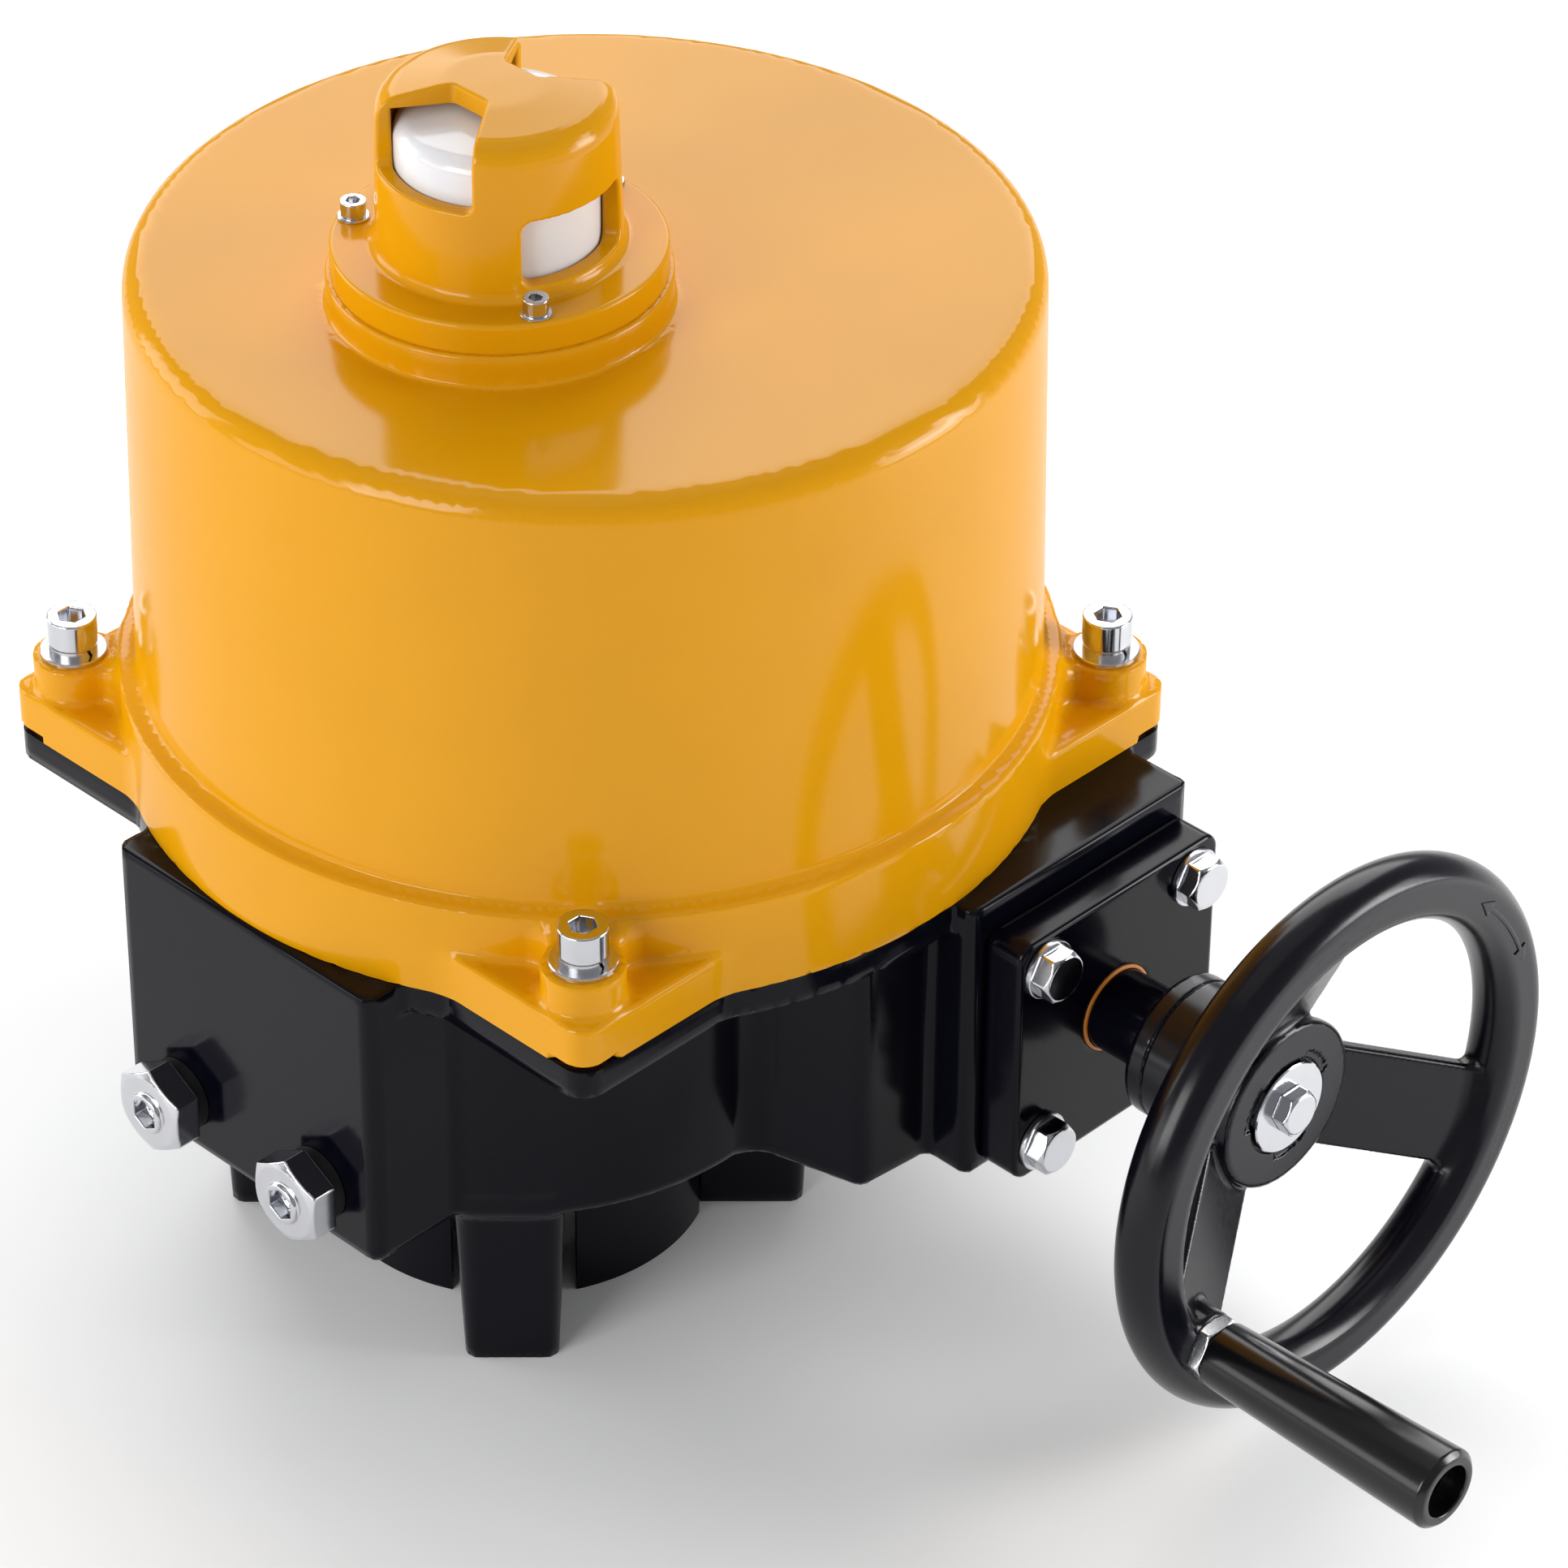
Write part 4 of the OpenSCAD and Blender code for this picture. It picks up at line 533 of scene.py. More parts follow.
@dataclass(frozen=True)
class Repeat:
    """Copies of one part on a grid or a ring, made by a node tree with named sizes.

    Attributes:
        pattern: grid or ring.
        columns: copies along X on a grid, or round the ring.
        rows: copies along Y on a grid.
        width: pitch along X on a grid, or the ring's radius, in millimetres.
        depth: pitch along Y on a grid, in millimetres.
        centre: middle of the pattern, in millimetres.
        turn: turn of the whole pattern about X, Y and Z, in degrees.
    """

    pattern: Pattern
    columns: int
    rows: int
    width: float
    depth: float
    centre: Triple
    turn: Triple = (0.0, 0.0, 0.0)

    def at(self, **place: float) -> Repeat:
        """The same pattern with its centre's x, y or z changed."""
        centre = tuple(place.get(axis, value) for axis, value in zip("xyz", self.centre))
        return replace(self, centre=centre)

    def _tree(self) -> bpy.types.NodeTree:
        """Builds the node tree of this pattern."""
        tree = bpy.data.node_groups.new(f"repeat_{self.pattern.value}", "GeometryNodeTree")
        for name, kind in (("Part", "Object"), ("Columns", "Int"), ("Rows", "Int"), ("Width", "Float"),
                           ("Depth", "Float"), ("Centre", "Vector"), ("Turn", "Vector"),
                           ("Finish", "Material")):
            tree.interface.new_socket(name=name, in_out="INPUT", socket_type=f"NodeSocket{kind}")
        tree.interface.new_socket(name="Geometry", in_out="OUTPUT", socket_type="NodeSocketGeometry")
        on_grid = self.pattern is Pattern.GRID
        kinds = {"inputs": "NodeGroupInput", "part": "GeometryNodeObjectInfo",
                 "spots": "GeometryNodeMeshGrid" if on_grid else "GeometryNodeMeshCircle",
                 "copies": "GeometryNodeInstanceOnPoints", "rotation": "FunctionNodeEulerToRotation",
                 "turn": "GeometryNodeTransform", "real": "GeometryNodeRealizeInstances",
                 "dress": "GeometryNodeSetMaterial", "out": "NodeGroupOutput"}
        nodes = {key: tree.nodes.new(kind) for key, kind in kinds.items()}
        wires = [("inputs", "Part", "part", "Object"), ("part", "Geometry", "copies", "Instance"),
                 ("spots", "Mesh", "copies", "Points"), ("copies", "Instances", "turn", "Geometry"),
                 ("inputs", "Centre", "turn", "Translation"), ("inputs", "Turn", "rotation", "Euler"),
                 ("rotation", "Rotation", "turn", "Rotation"), ("turn", "Geometry", "real", "Geometry"),
                 ("real", "Geometry", "dress", "Geometry"), ("inputs", "Finish", "dress", "Material"),
                 ("dress", "Geometry", "out", "Geometry")]
        if on_grid:
            sizes = (("Width", "Size X"), ("Depth", "Size Y"), ("Columns", "Vertices X"),
                     ("Rows", "Vertices Y"))
        else:
            sizes = (("Columns", "Vertices"), ("Width", "Radius"))
        wires += [("inputs", source, "spots", target) for source, target in sizes]
        for source, output, target, socket in wires:
            tree.links.new(nodes[source].outputs[output], nodes[target].inputs[socket])
        return tree

    def build(self, name: str, part: bpy.types.Object, finish: bpy.types.Material) -> bpy.types.Object:
        """Lays out the copies and turns them into one plain mesh.

        Args:
            name: name of the finished object.
            part: the part to copy; it is used up.
            finish: material of the copies.

        Returns:
            The finished object.
        """
        tree = self._tree()
        holder = make_object(name + "_holder", bpy.data.meshes.new(name + "_holder"))
        modifier = holder.modifiers.new("repeat", "NODES")
        modifier.node_group = tree
        values = {"Part": part, "Columns": self.columns, "Rows": self.rows,
                  "Width": self.width * MM, "Depth": self.depth * MM,
                  "Centre": [v * MM for v in self.centre],
                  "Turn": [math.radians(v) for v in self.turn], "Finish": finish}
        for item in tree.interface.items_tree:
            if item.item_type == "SOCKET" and item.in_out == "INPUT":
                modifier[item.identifier] = values[item.name]
        bpy.context.view_layer.update()
        graph = bpy.context.evaluated_depsgraph_get()
        mesh = bpy.data.meshes.new_from_object(holder.evaluated_get(graph))
        for spent in (holder, part):
            bpy.data.objects.remove(spent)
        return make_object(name, mesh)


# Shader expressions


class Signal:
    """A socket in a shader tree that takes part in Python arithmetic."""

    def __init__(self, bench: Bench, socket: bpy.types.NodeSocket) -> None:
        """Keeps the socket and the bench that made it."""
        self.bench = bench
        self.socket = socket

    def _with(self, operation: str, first: object, second: object) -> Signal:
        """Adds one Math node."""
        node = self.bench.node("ShaderNodeMath", {"operation": operation}, {0: first, 1: second})
        return Signal(self.bench, node.outputs[0])

    def __add__(self, other: object) -> Signal:
        """Sum."""
        return self._with("ADD", self, other)

    def __radd__(self, other: object) -> Signal:
        """Sum with the number first."""
        return self._with("ADD", other, self)

    def __sub__(self, other: object) -> Signal:
        """Difference."""
        return self._with("SUBTRACT", self, other)

    def __rsub__(self, other: object) -> Signal:
        """Difference with the number first."""
        return self._with("SUBTRACT", other, self)

    def __mul__(self, other: object) -> Signal:
        """Product."""
        return self._with("MULTIPLY", self, other)

    def __rmul__(self, other: object) -> Signal:
        """Product with the number first."""
        return self._with("MULTIPLY", other, self)

    def clamp(self) -> Signal:
        """Held between 0 and 1."""
        node = self.bench.node("ShaderNodeMath", {"operation": "ADD", "use_clamp": True},
                               {0: self, 1: 0.0})
        return Signal(self.bench, node.outputs[0])


class Bench:
    """Builds the node tree of one material."""

    def __init__(self, name: str) -> None:
        """Starts a material with an empty tree."""
        self.material = bpy.data.materials.new(name)
        self.material.use_nodes = True
        self.tree = self.material.node_tree
        self.tree.nodes.clear()

    def node(self, kind: str, settings: dict[str, object] | None = None,
             sockets: dict[object, object] | None = None) -> bpy.types.Node:
        """Adds a node.

        Args:
            kind: the node's type.
            settings: attributes, set first.
            sockets: values or signals by input name or number.

        Returns:
            The node.
        """
        made = self.tree.nodes.new(kind)
        for key, value in (settings or {}).items():
            setattr(made, key, value)
        for key, value in (sockets or {}).items():
            if isinstance(value, Signal):
                self.tree.links.new(value.socket, made.inputs[key])
            else:
                made.inputs[key].default_value = value
        return made

    def place(self) -> Signal:
        """Object coordinates."""
        return Signal(self, self.node("ShaderNodeTexCoord").outputs["Object"])

    def stretched(self, scale: Triple) -> Signal:
        """Object coordinates stretched by a factor along each axis."""
        made = self.node("ShaderNodeMapping", None, {"Vector": self.place(), "Scale": scale})
        return Signal(self, made.outputs[0])

    def noise(self, size_mm: float, detail: float = 2.0, where: Signal | None = None) -> Signal:
        """Noise whose blotches are about the given size."""
        made = self.node("ShaderNodeTexNoise", None,
                         {"Vector": where or self.place(), "Scale": 1000.0 / size_mm,
                          "Detail": detail, "Roughness": 0.55})
        return Signal(self, made.outputs["Fac"])

    def shade(self, factor: Signal, low: Triple, high: Triple) -> Signal:
        """Colour between two others."""
        made = self.node("ShaderNodeMix", {"data_type": "RGBA"},
                         {0: factor, 6: (*low, 1.0), 7: (*high, 1.0)})
        return Signal(self, made.outputs[2])

    def bump(self, height: Signal, depth_mm: float, strength: float = 1.0) -> Signal:
        """Surface normal from a height."""
        made = self.node("ShaderNodeBump", None,
                         {"Height": height, "Distance": depth_mm * MM, "Strength": strength})
        return Signal(self, made.outputs[0])

    def finish(self, sockets: dict[object, object]) -> bpy.types.Material:
        """Adds the surface shader and the output.

        Args:
            sockets: values or signals of the surface shader.

        Returns:
            The material.
        """
        surface = self.node("ShaderNodeBsdfPrincipled", None, sockets)
        out = self.node("ShaderNodeOutputMaterial")
        self.tree.links.new(surface.outputs[0], out.inputs["Surface"])
        return self.material


def tinted(colour: Triple, factor: float) -> Triple:
    """A colour made lighter or darker."""
    return tuple(min(1.0, c * factor) for c in colour)


@dataclass(frozen=True)
class Enamel:
    """Glossy paint over cast or machined metal.

    Attributes:
        name: the material's name.
        colour: paint colour.
        gloss: roughness of the clear top.
        grain_mm: size of the casting grain that shows through.
        grain_depth: depth of that grain in millimetres.
        coat: weight of the clear top.
        body: roughness of the paint under the clear top.
        shine: strength of the paint's own reflection.
    """

    name: str
    colour: Triple
    gloss: float = 0.12
    grain_mm: float = 3.0
    grain_depth: float = 0.03
    coat: float = 1.0
    body: float = 0.35
    shine: float = 0.5

    def material(self) -> bpy.types.Material:
        """Builds the finish."""
        bench = Bench(self.name)
        broad = bench.noise(70.0, 2.0)
        fine = bench.noise(self.grain_mm, 3.0)
        colour = bench.shade((broad * 1.4 - 0.2).clamp(), tinted(self.colour, 0.95),
                             tinted(self.colour, 1.04))
        height = fine * 0.7 + bench.noise(self.grain_mm * 6, 1.0) * 1.6
        return bench.finish({"Base Color": colour, "Roughness": self.body + fine * 0.1,
                             "Coat Weight": self.coat, "Coat Roughness": self.gloss,
                             "Specular IOR Level": self.shine,
                             "Normal": bench.bump(height, self.grain_depth)})


@dataclass(frozen=True)
class Metal:
    """Bare or plated metal with fine tool marks.

    Attributes:
        name: the material's name.
        colour: reflection colour.
        roughness: middle roughness.
        marks: stretch of the tool marks along each axis.
        depth: depth of the marks in millimetres.
    """

    name: str
    colour: Triple
    roughness: float
    marks: Triple = (1.0, 1.0, 9.0)
    depth: float = 0.01

    def material(self) -> bpy.types.Material:
        """Builds the finish."""
        bench = Bench(self.name)
        streak = bench.noise(2.0, 3.0, bench.stretched(self.marks))
        stain = bench.noise(9.0, 2.0)
        colour = bench.shade(stain, tinted(self.colour, 0.93), tinted(self.colour, 1.05))
        rough = (self.roughness * 0.8 + streak * (self.roughness * 0.5)).clamp()
        return bench.finish({"Base Color": colour, "Metallic": 1.0, "Roughness": rough,
                             "Normal": bench.bump(streak, self.depth)})


@dataclass(frozen=True)
class Moulded:
    """Rubber or plastic with a fine moulded texture.

    Attributes:
        name: the material's name.
        colour: body colour.
        roughness: middle roughness.
        grain_mm: size of the texture.
        depth: depth of the texture in millimetres.
        glow: light passed on from inside, for opal plastic.
    """

    name: str
    colour: Triple
    roughness: float
    grain_mm: float = 0.8
    depth: float = 0.01
    glow: float = 0.0

    def material(self) -> bpy.types.Material:
        """Builds the finish."""
        bench = Bench(self.name)
        grain = bench.noise(self.grain_mm, 2.0)
        cloud = bench.noise(25.0, 2.0)
        colour = bench.shade(cloud, tinted(self.colour, 0.94), tinted(self.colour, 1.04))
        rough = (self.roughness - 0.04 + grain * 0.08).clamp()
        return bench.finish({"Base Color": colour, "Roughness": rough,
                             "Subsurface Weight": self.glow, "Subsurface Scale": 0.004,
                             "Normal": bench.bump(grain, self.depth)})


class Finishes:
    """Every finish of the actuator, by its slot name in the record."""

    def __init__(self) -> None:
        """Builds the materials."""
        black = (0.0015, 0.0015, 0.0045)
        kinds = [
            Enamel("yellow_enamel", (0.69, 0.305, 0.002), gloss=0.13, grain_mm=4.0, grain_depth=0.005,
                   coat=0.55, body=0.5, shine=0.0),
            Enamel("black_casting", black, gloss=0.2, grain_mm=2.2, grain_depth=0.003, coat=0.0,
                   body=0.1, shine=0.17),
            Enamel("black_wheel", black, gloss=0.2, grain_mm=2.5, grain_depth=0.002, coat=0.0,
                   body=0.17, shine=0.32),
            Enamel("motor_grey", (0.10, 0.105, 0.115), gloss=0.25, grain_mm=1.5, grain_depth=0.03,
                   coat=0.5, body=0.4),
            Moulded("opal_lens", (0.76, 0.76, 0.78), 0.14, 1.5, 0.004, 0.3),
            Moulded("indicator_white", (0.80, 0.80, 0.80), 0.35),
            Moulded("black_rubber", (0.012, 0.012, 0.012), 0.5),
            Moulded("orange_seal", (0.62, 0.20, 0.015), 0.35),
            Moulded("black_grip", (0.003, 0.003, 0.004), 0.2, 1.0, 0.004),
            Moulded("red_plastic", (0.5, 0.04, 0.02), 0.4),
            Moulded("dark_plastic", (0.03, 0.032, 0.04), 0.4),
            Moulded("grey_plastic", (0.22, 0.24, 0.27), 0.45),
            Metal("bright_steel", (0.62, 0.63, 0.66), 0.12),
            Metal("washer_steel", (0.66, 0.67, 0.70), 0.2, (3.0, 3.0, 3.0)),
            Metal("spindle_steel", (0.62, 0.63, 0.65), 0.25, (12.0, 1.0, 1.0)),
            Metal("hardened_steel", (0.45, 0.46, 0.48), 0.28, (1.0, 1.0, 12.0)),
            Metal("bearing_steel", (0.7, 0.71, 0.73), 0.16, (12.0, 1.0, 1.0)),
            Metal("gear_steel", (0.5, 0.51, 0.53), 0.3, (12.0, 1.0, 1.0)),
            Metal("bronze", (0.75, 0.45, 0.16), 0.28, (1.0, 1.0, 10.0)),
            Metal("plain_casting", (0.62, 0.63, 0.64), 0.45, (1.0, 1.0, 1.0), 0.05),
            Metal("zinc_plate", (0.66, 0.67, 0.62), 0.35, (1.0, 6.0, 1.0)),
            Metal("plated_screws", (0.7, 0.71, 0.7), 0.25),
            Metal("capacitor_can", (0.75, 0.76, 0.77), 0.25, (1.0, 1.0, 10.0)),
            Metal("heater_alloy", (0.62, 0.6, 0.56), 0.4, (1.0, 1.0, 1.0), 0.03),
        ]
        self.by_slot = {kind.name: kind.material() for kind in kinds}

    def __getitem__(self, slot: str) -> bpy.types.Material:
        """The finish of a slot."""
        return self.by_slot[slot]


# Pieces


@dataclass
class Workshop:
    """Hands finished pieces to the frame.

    Attributes:
        finishes: materials by slot.
    """

    finishes: Finishes

    def deliver(self, made: bpy.types.Object, slot: str, body: str, *nodes: str) -> None:
        """Dresses a piece, makes it ride on a body and hides the nodes that it stands for.

        Args:
            made: the piece.
            slot: its material slot in the record.
            body: the body that it rides on.
            nodes: nodes that it replaces.
        """
        made.data.materials.clear()
        made.data.materials.append(self.finishes[slot])
        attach(made, body)
        if nodes:
            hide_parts(*nodes)
        LOG.info("%s rides on %s", made.name, body)

    def turn_out(self, name: str, profile: Sequence[Pair], matrix: Matrix, slot: str, body: str,
                 node: str) -> None:
        """Turns a profile on the lathe, places it and delivers it.

        Args:
            name: the piece's name.
            profile: (radius, height) points.
            matrix: its place.
            slot: its material slot.
            body: the body that it rides on.
            node: the node that it replaces.
        """
        self.deliver(place(lathe(name, profile), matrix), slot, body, node)

    def dress_nodes(self) -> None:
        """Gives every node that still shows the finish of its slot."""
        slots = {s["node"]: s["material_slot"] for s in frame["record"]["subparts"]}
        for name, node in frame["nodes"].items():
            finish = self.finishes[slots[name]]
            if not node.data.materials:
                node.data.materials.append(finish)
            for i in range(len(node.data.materials)):
                node.data.materials[i] = finish


# Places that several pieces share
PARTING = 165.0
COVER_Y = 36.0
EAR_HALF = 131.7
EAR_CORNER = 8.0
SCREW_POS = 116.5
WORM_Y = 100.0
WORM_Z = 108.5
BLOCK_FACE = 157.5
PLATE_BACK = 158.3
PLATE_FRONT = 172.3
BOLT_POS = 34.2
BOX_FACE = 115.5
ENTRY_X = 32.0
ENTRY_Z = 81.0
HUB_BACK = 197.0
SHAFT_R = 10.05
CAP_SCREW_R = 46.0
CAP_FLANGE_TOP = 362.0


@dataclass
class CoverShell:
    """The yellow cover with its four ears and the boss for the indicator."""

    rim_r: float = 150.0
    rim_h: float = 32.5
    ledge_h: float = 2.0
    low_r: float = 144.5
    top_r: float = 142.0
    top_z: float = 341.5
    edge_r: float = 8.0
    inner_r: float = 138.5
    top_t: float = 5.5
    ear_h: float = 16.0
    boss_r: float = 13.0
    boss_h: float = 28.0
    relief_h: float = 2.6
    relief_at: float = 175.15
    boss_top: float = 352.0
    indicator_r: float = 53.0
    screw_hole_r: float = 5.5
    shaft_hole_r: float = 10.0
    cell: float = 2.36

    def _body(self) -> Solid:
        """The turned shell without its cavity."""
        rim_top = PARTING + self.rim_h
        return turned(rounded([(-60, PARTING), (self.rim_r, PARTING, 0.8),
                               (self.rim_r, rim_top, 1.2),
                               (self.low_r, rim_top + self.ledge_h, 1.5),
                               (self.top_r, self.top_z, self.edge_r),
                               (-60, self.top_z)])).moved(0, COVER_Y, 0)

    def _cavity(self) -> Solid:
        """The space under the cover."""
        roof = self.top_z - self.top_t
        return turned(rounded([(-60, PARTING - 9), (self.inner_r, PARTING - 9),
                               (self.inner_r, roof, self.edge_r / 2),
                               (-60, roof)])).moved(0, COVER_Y, 0)

    def _ears(self) -> Solid:
        """Ear plates and screw bosses, with the relief under each corner."""
        square = prism(lambda u, v: plate(u, v, EAR_HALF, EAR_HALF, EAR_CORNER), PARTING,
                       PARTING + self.ear_h, 1.6, 0.5)
        relief = Solid(lambda p: np.maximum(self.relief_at - (p[0] + p[1]) * math.sqrt(0.5),
                                            p[2] - PARTING - self.relief_h))
        boss = rod(self.boss_r, PARTING, PARTING + self.boss_h, 0.9).moved(SCREW_POS, SCREW_POS, 0)
        ears = square.cut(relief, 0.3).join(boss, 2.5)
        return ears.mirrored_pairs(0, COVER_Y)

    def _webs(self) -> Solid:
        """The ribs that tie the bosses to the rim."""
        middle = (self.inner_r + SCREW_POS * math.sqrt(2)) / 2
        half = SCREW_POS * math.sqrt(2) - middle
        web = prism(lambda u, v: plate(u - middle, v, half, self.boss_r * 0.8, 2), PARTING + 4,
                    PARTING + self.boss_h - 1.0, 1.5)
        return web.on_diagonal().mirrored_pairs(0, COVER_Y)

    def build(self, shop: Workshop) -> None:
        """Builds the cover."""
        holes = rod(self.screw_hole_r, PARTING - 20, PARTING + 60).moved(SCREW_POS, SCREW_POS, 0)
        boss = rod(self.indicator_r, self.top_z - 3, self.boss_top, 1.2)
        shell = self._body().join(self._webs(), 8.0).join(self._ears(), 2.5).join(boss, 1.5)
        shell = shell.clip(Solid(lambda p: PARTING + 0.1 - p[2]), 0.4)
        shell = shell.cut(self._cavity()).cut(holes.mirrored_pairs(0, COVER_Y), 0.4)
        shell = shell.cut(rod(self.shaft_hole_r, self.top_z - 30, self.boss_top + 9))
        low = (-self.rim_r, COVER_Y - self.rim_r, PARTING)
        high = (self.rim_r, COVER_Y + self.rim_r, self.boss_top)
        shop.deliver(shaped("cover_shell", shell, low, high, self.cell), "yellow_enamel", "housing",
                     "cover")


@dataclass
class BaseCasting:
    """The black housing: flange, gear and worm housing, entry box, posts and skirt."""

    flange_t: float = 10.0
    flange_r: float = 149.4
    flange_half: float = EAR_HALF - 0.4
    underside: float = 60.0
    floor: float = 72.0
    drum_r: float = 99.0
    chamber_r: float = 88.0
    hub_r: float = 51.05
    hub_top: float = 90.5
    bush_r: float = 41.05
    seal_r: float = 44.05
    skirt_inner: float = 54.5
    skirt_outer: float = 63.5
    slot_half: float = 20.0
    post_mid: float = 75.25
    post_reach: float = 19.25
    post_half: float = 15.0
    post_lean: float = 2.5
    post_hole_at: float = 70.0
    post_hole_r: float = 7.0
    post_hole_depth: float = 30.0
    bearing_in_r: float = 23.55
    worm_bore_r: float = 28.0
    bearing_out_r: float = 31.05
    box_half: float = 58.0
    block_front: float = 47.5
    back: float = 148.0
    end: float = 104.0
    side: float = 141.0
    cell: float = 2.46

    def _flange(self) -> Solid:
        """The flange under the cover."""

        def outline(u: np.ndarray, v: np.ndarray) -> np.ndarray:
            """Circle and square run together."""
            square = plate(u, v, self.flange_half, self.flange_half, EAR_CORNER)
            return soft_min(disc(u, v, self.flange_r), square, 0.8)

        return prism(outline, PARTING - self.flange_t, PARTING, 0.8, 1.2).moved(0, COVER_Y, 0)

    def _worm_housing(self) -> Solid:
        """The walls round the worm and the gears at its end."""
        walls = rounded([(-60, 42), (95, 9, 8), (self.side - 3, 20, 6), (self.side, self.block_front + 9),
                         (self.side, self.back, 5), (-self.end, self.back, 5), (-self.end, 42, 5)])
        block = rounded([(120, self.block_front), (BLOCK_FACE, self.block_front, 4),
                         (BLOCK_FACE, self.back, 4), (120, self.back)])
        housing = prism(lambda u, v: polygon(u, v, walls), self.underside, PARTING - 4, 0.0, 3.0)
        end = prism(lambda u, v: polygon(u, v, block), self.underside, PARTING, 1.5, 3.0)
        return housing.join(end, 3.0)

    def _posts(self) -> Solid:
        """The four tapered mounting posts with their threaded holes."""

        def distance(p: Points) -> np.ndarray:
            """Distance to a post along +X."""
            lean = self.post_lean * np.clip(p[2], 0, 70) / self.underside
            d = plate(p[0] - self.post_mid, p[1], self.post_reach, self.post_half, 5.0) - lean
            return soft_max(soft_max(d, -p[2], 1.0), p[2] - self.underside - 8, 0)

        hole = rod(self.post_hole_r, -9, self.post_hole_depth).moved(self.post_hole_at, 0, 0)
        return Solid(distance).cut(hole, 0.8).on_diagonal().mirrored_pairs(0, 0)

    def _skirt(self) -> Solid:
        """The round skirt with its four slots."""
        top = self.underside + 6
        wall = turned([(self.skirt_inner, 0), (self.skirt_outer, 0), (self.skirt_outer, top),
                       (self.skirt_inner, top)])
        slot = prism(lambda u, v: plate(u - 60, v, 25, self.slot_half, 1), -9, self.underside)
        return wall.cut(slot.on_diagonal().mirrored_pairs(0, 0), 0.8)

    def _cavities(self) -> Solid:
        """Wheel chamber, worm bore, gear pocket, entry pocket and bores."""
        chamber = rod(self.chamber_r, self.floor, PARTING + 9)
        chamber = chamber.cut(rod(self.hub_r, self.floor - 9, self.hub_top))
        bore = rod(self.bush_r, 30, PARTING + 9).join(rod(self.seal_r, 30, 54))
        worm = rod(self.worm_bore_r, -44, 170).join(rod(self.bearing_out_r, 130, 170))
        worm = worm.join(rod(self.bearing_in_r, -66, -40))
        gears = Solid(lambda p: np.maximum(plate(p[0] + 80, p[1] - WORM_Y, 16, 43, 1),
                                           self.floor - 4 - p[2]))
        pocket = Solid(lambda p: np.maximum(plate(p[0], p[1] + 54, 50, 53.5, 3),
                                            np.maximum(68 - p[2], 92 - np.hypot(p[0], p[1]))))
        pocket = pocket.clip(rod(138.5, 0, 200).moved(0, COVER_Y, 0).join(rod(400, 0, 150)))
        entries = Solid(lambda p: disc(np.abs(p[0]) - ENTRY_X, p[2] - ENTRY_Z, SHAFT_R))
        entries = entries.clip(Solid(lambda p: p[1] + 90))
        return (chamber.join(bore).join(worm.along_x(WORM_Y, WORM_Z)).join(gears)
                .join(pocket).join(entries))

    def build(self, shop: Workshop) -> None:
        """Builds the casting."""
        drum = rod(self.drum_r, self.underside, PARTING - 2, 0.0, 5.0)
        box = prism(lambda u, v: plate(u, v + BOX_FACE / 2, self.box_half, BOX_FACE / 2, 4.5),
                    self.underside, PARTING, 1.5, 5.0)
        hub = rod(self.hub_r, 46, 70)
        core = drum.join(self._worm_housing(), 8.0).join(box, 2.2)
        core = core.clip(Solid(lambda p: self.underside - p[2]), 1.5).join(self._flange(), 2.5)
        body = core.clip(Solid(lambda p: p[2] - PARTING), 0.6)
        body = body.join(self._posts(), 3.0).join(self._skirt(), 1.5).join(hub)
        holes = rod(5.05, 150, 170).moved(SCREW_POS, SCREW_POS, 0).mirrored_pairs(0, COVER_Y)
        body = body.cut(self._cavities()).cut(holes)
        low = (-150.0, -BOX_FACE, 0.0)
        high = (BLOCK_FACE, COVER_Y + 150, PARTING)
        shop.deliver(shaped("base_casting", body, low, high, self.cell), "black_casting", "housing",
                     "base_housing")


